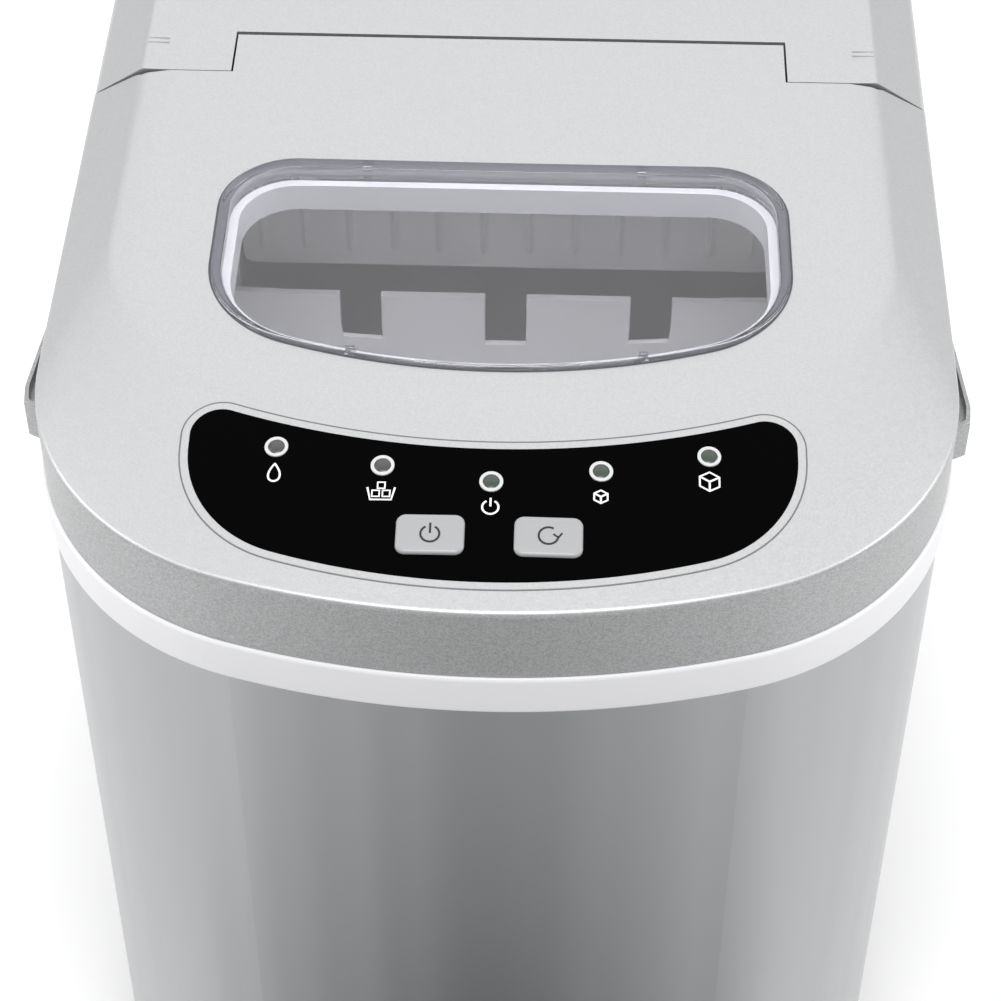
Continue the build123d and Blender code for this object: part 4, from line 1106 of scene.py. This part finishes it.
class ICEMAKER_OT_stage(PieceOperator, bpy.types.Operator):
    """Sets the floor, the soft lights and the camera"""

    bl_idname = "ice_maker.stage"
    bl_label = "Stage"

    def execute(self, context):
        scene = context.scene
        floor = self.sheet("studio_floor", (-6.0, 6.0), (-6.0, 6.0), 0.0)
        floor.data.materials.append(
            get_material("matt studio floor", moulded_plastic, linear("F7F7F7"), 0.9, 20.0, 0.0)
        )
        world = bpy.data.worlds.new("studio_air")
        world.use_nodes = True
        world.node_tree.nodes["Background"].inputs["Color"].default_value = (1, 1, 1, 1)
        world.node_tree.nodes["Background"].inputs["Strength"].default_value = 0.6
        scene.world = world
        scene.view_settings.view_transform = "Standard"
        self.softbox("overhead_box", (0, -1.1, 3.8), (0, -0.05, 0.2), (1.4, 1.0), 62)
        self.softbox("rear_box", (0, 2.4, 2.8), (0, -0.05, 0.3), (3.4, 2.6), 17)
        for side, name in ((-1, "left"), (1, "right")):
            self.softbox(f"{name}_high_box", (2.6 * side, 0.2, 2.6), (0, 0, 0.2), (1.6, 1.6), 25)
            self.softbox(f"{name}_low_box", (1.5 * side, 0.1, 0.9), (0, 0, 0.2), (0.6, 1.2), 4)
        self.flag()
        camera = bpy.data.cameras.new("studio_camera")
        camera.sensor_width = 36.0
        camera.lens = 99.78
        camera.clip_end = 50
        holder = bpy.data.objects.new("studio_camera", camera)
        scene.collection.objects.link(holder)
        holder.matrix_world = aim((0.01507, -0.6117, 0.8153), -1.5525, 46.616, 0.2006)
        scene.camera = holder
        return {"FINISHED"}

    def sheet(self, name, across_x, across_y, z):
        """Flat staging sheet that faces up, with its edges at two X and two Y values in metres."""
        (left, right), (front, back) = across_x, across_y
        corners = [(left, front, z), (right, front, z), (right, back, z), (left, back, z)]
        mesh = bpy.data.meshes.new(name)
        mesh.from_pydata(corners, [], [(0, 1, 2, 3)])
        sheet = bpy.data.objects.new(name, mesh)
        bpy.context.scene.collection.objects.link(sheet)
        return sheet

    def flag(self):
        """Dark card lying before the machine, hidden from the camera: it darkens the middle of its front."""
        half, near, far = 0.45, -0.2, -1.1
        card = self.sheet("dark_card", (-half, half), (far, near), 0.002)
        card.data.materials.append(get_material("graduated matt card", graduated_card, near))
        card.visible_camera = card.visible_shadow = False

    def softbox(self, name, place, target, size, power):
        """Rectangular area lamp that faces the target."""
        lamp = bpy.data.lights.new(name, "AREA")
        lamp.shape = "RECTANGLE"
        lamp.size, lamp.size_y = size
        lamp.energy = power
        box = bpy.data.objects.new(name, lamp)
        bpy.context.scene.collection.objects.link(box)
        ahead = np.array(target, float) - place
        ahead /= np.linalg.norm(ahead)
        side = np.cross(ahead, (0.001, 0.001, 1.0))
        side /= np.linalg.norm(side)
        axes = np.stack([side, np.cross(side, ahead), -ahead], 1)
        box.matrix_world = place_axes(axes, place)


def place_axes(axes, place):
    """World matrix from three unit columns and a position."""
    matrix = np.eye(4)
    matrix[:3, :3] = axes
    matrix[:3, 3] = place
    return Matrix(matrix.tolist())


def aim(place, yaw, dip, roll):
    """Camera matrix: facing +Y, turned right by yaw, tipped down by dip, rolled to the right, in degrees."""
    yaw, dip, roll = np.radians([yaw, dip, roll])
    level = np.array([np.sin(yaw), np.cos(yaw), 0])
    side = np.array([np.cos(yaw), -np.sin(yaw), 0])
    ahead = level * np.cos(dip) - np.array([0, 0, np.sin(dip)])
    up = np.array([0, 0, np.cos(dip)]) + level * np.sin(dip)
    right = side * np.cos(roll) + up * np.sin(roll)
    above = up * np.cos(roll) - side * np.sin(roll)
    return place_axes(np.stack([right, above, -ahead], 1), place)


class ICEMAKER_PT_panel(bpy.types.Panel):
    """Sidebar panel with the settings and one button for each group of pieces"""

    bl_label = "Ice Maker"
    bl_idname = "ICEMAKER_PT_panel"
    bl_space_type = "VIEW_3D"
    bl_region_type = "UI"
    bl_category = "Ice Maker"

    def draw(self, context):
        scene = context.scene
        for group in (scene.ice_maker_lid, scene.ice_maker_cabinet, scene.ice_maker_window):
            box = self.layout.box()
            for key in group.__annotations__:
                box.prop(group, key)
        for operator in OPERATORS:
            self.layout.operator(operator.bl_idname)


OPERATORS = (
    ICEMAKER_OT_finishes,
    ICEMAKER_OT_lid,
    ICEMAKER_OT_rear_cover,
    ICEMAKER_OT_band,
    ICEMAKER_OT_window,
    ICEMAKER_OT_control_panel,
    ICEMAKER_OT_keys,
    ICEMAKER_OT_shovel,
    ICEMAKER_OT_stage,
)
CLASSES = (LidSettings, CabinetSettings, WindowSettings, *OPERATORS, ICEMAKER_PT_panel)


def register():
    """Adds the settings, the operators and the panel to Blender."""
    for item in CLASSES:
        bpy.utils.register_class(item)
    bpy.types.Scene.ice_maker_lid = bpy.props.PointerProperty(type=LidSettings)
    bpy.types.Scene.ice_maker_cabinet = bpy.props.PointerProperty(type=CabinetSettings)
    bpy.types.Scene.ice_maker_window = bpy.props.PointerProperty(type=WindowSettings)


def unregister():
    """Takes them away again."""
    del bpy.types.Scene.ice_maker_window
    del bpy.types.Scene.ice_maker_cabinet
    del bpy.types.Scene.ice_maker_lid
    for item in reversed(CLASSES):
        bpy.utils.unregister_class(item)


def main():
    """Builds everything in order."""
    register()
    for operator in OPERATORS:
        group, name = operator.bl_idname.split(".")
        getattr(getattr(bpy.ops, group), name)()


if __name__ == "__main__":
    main()
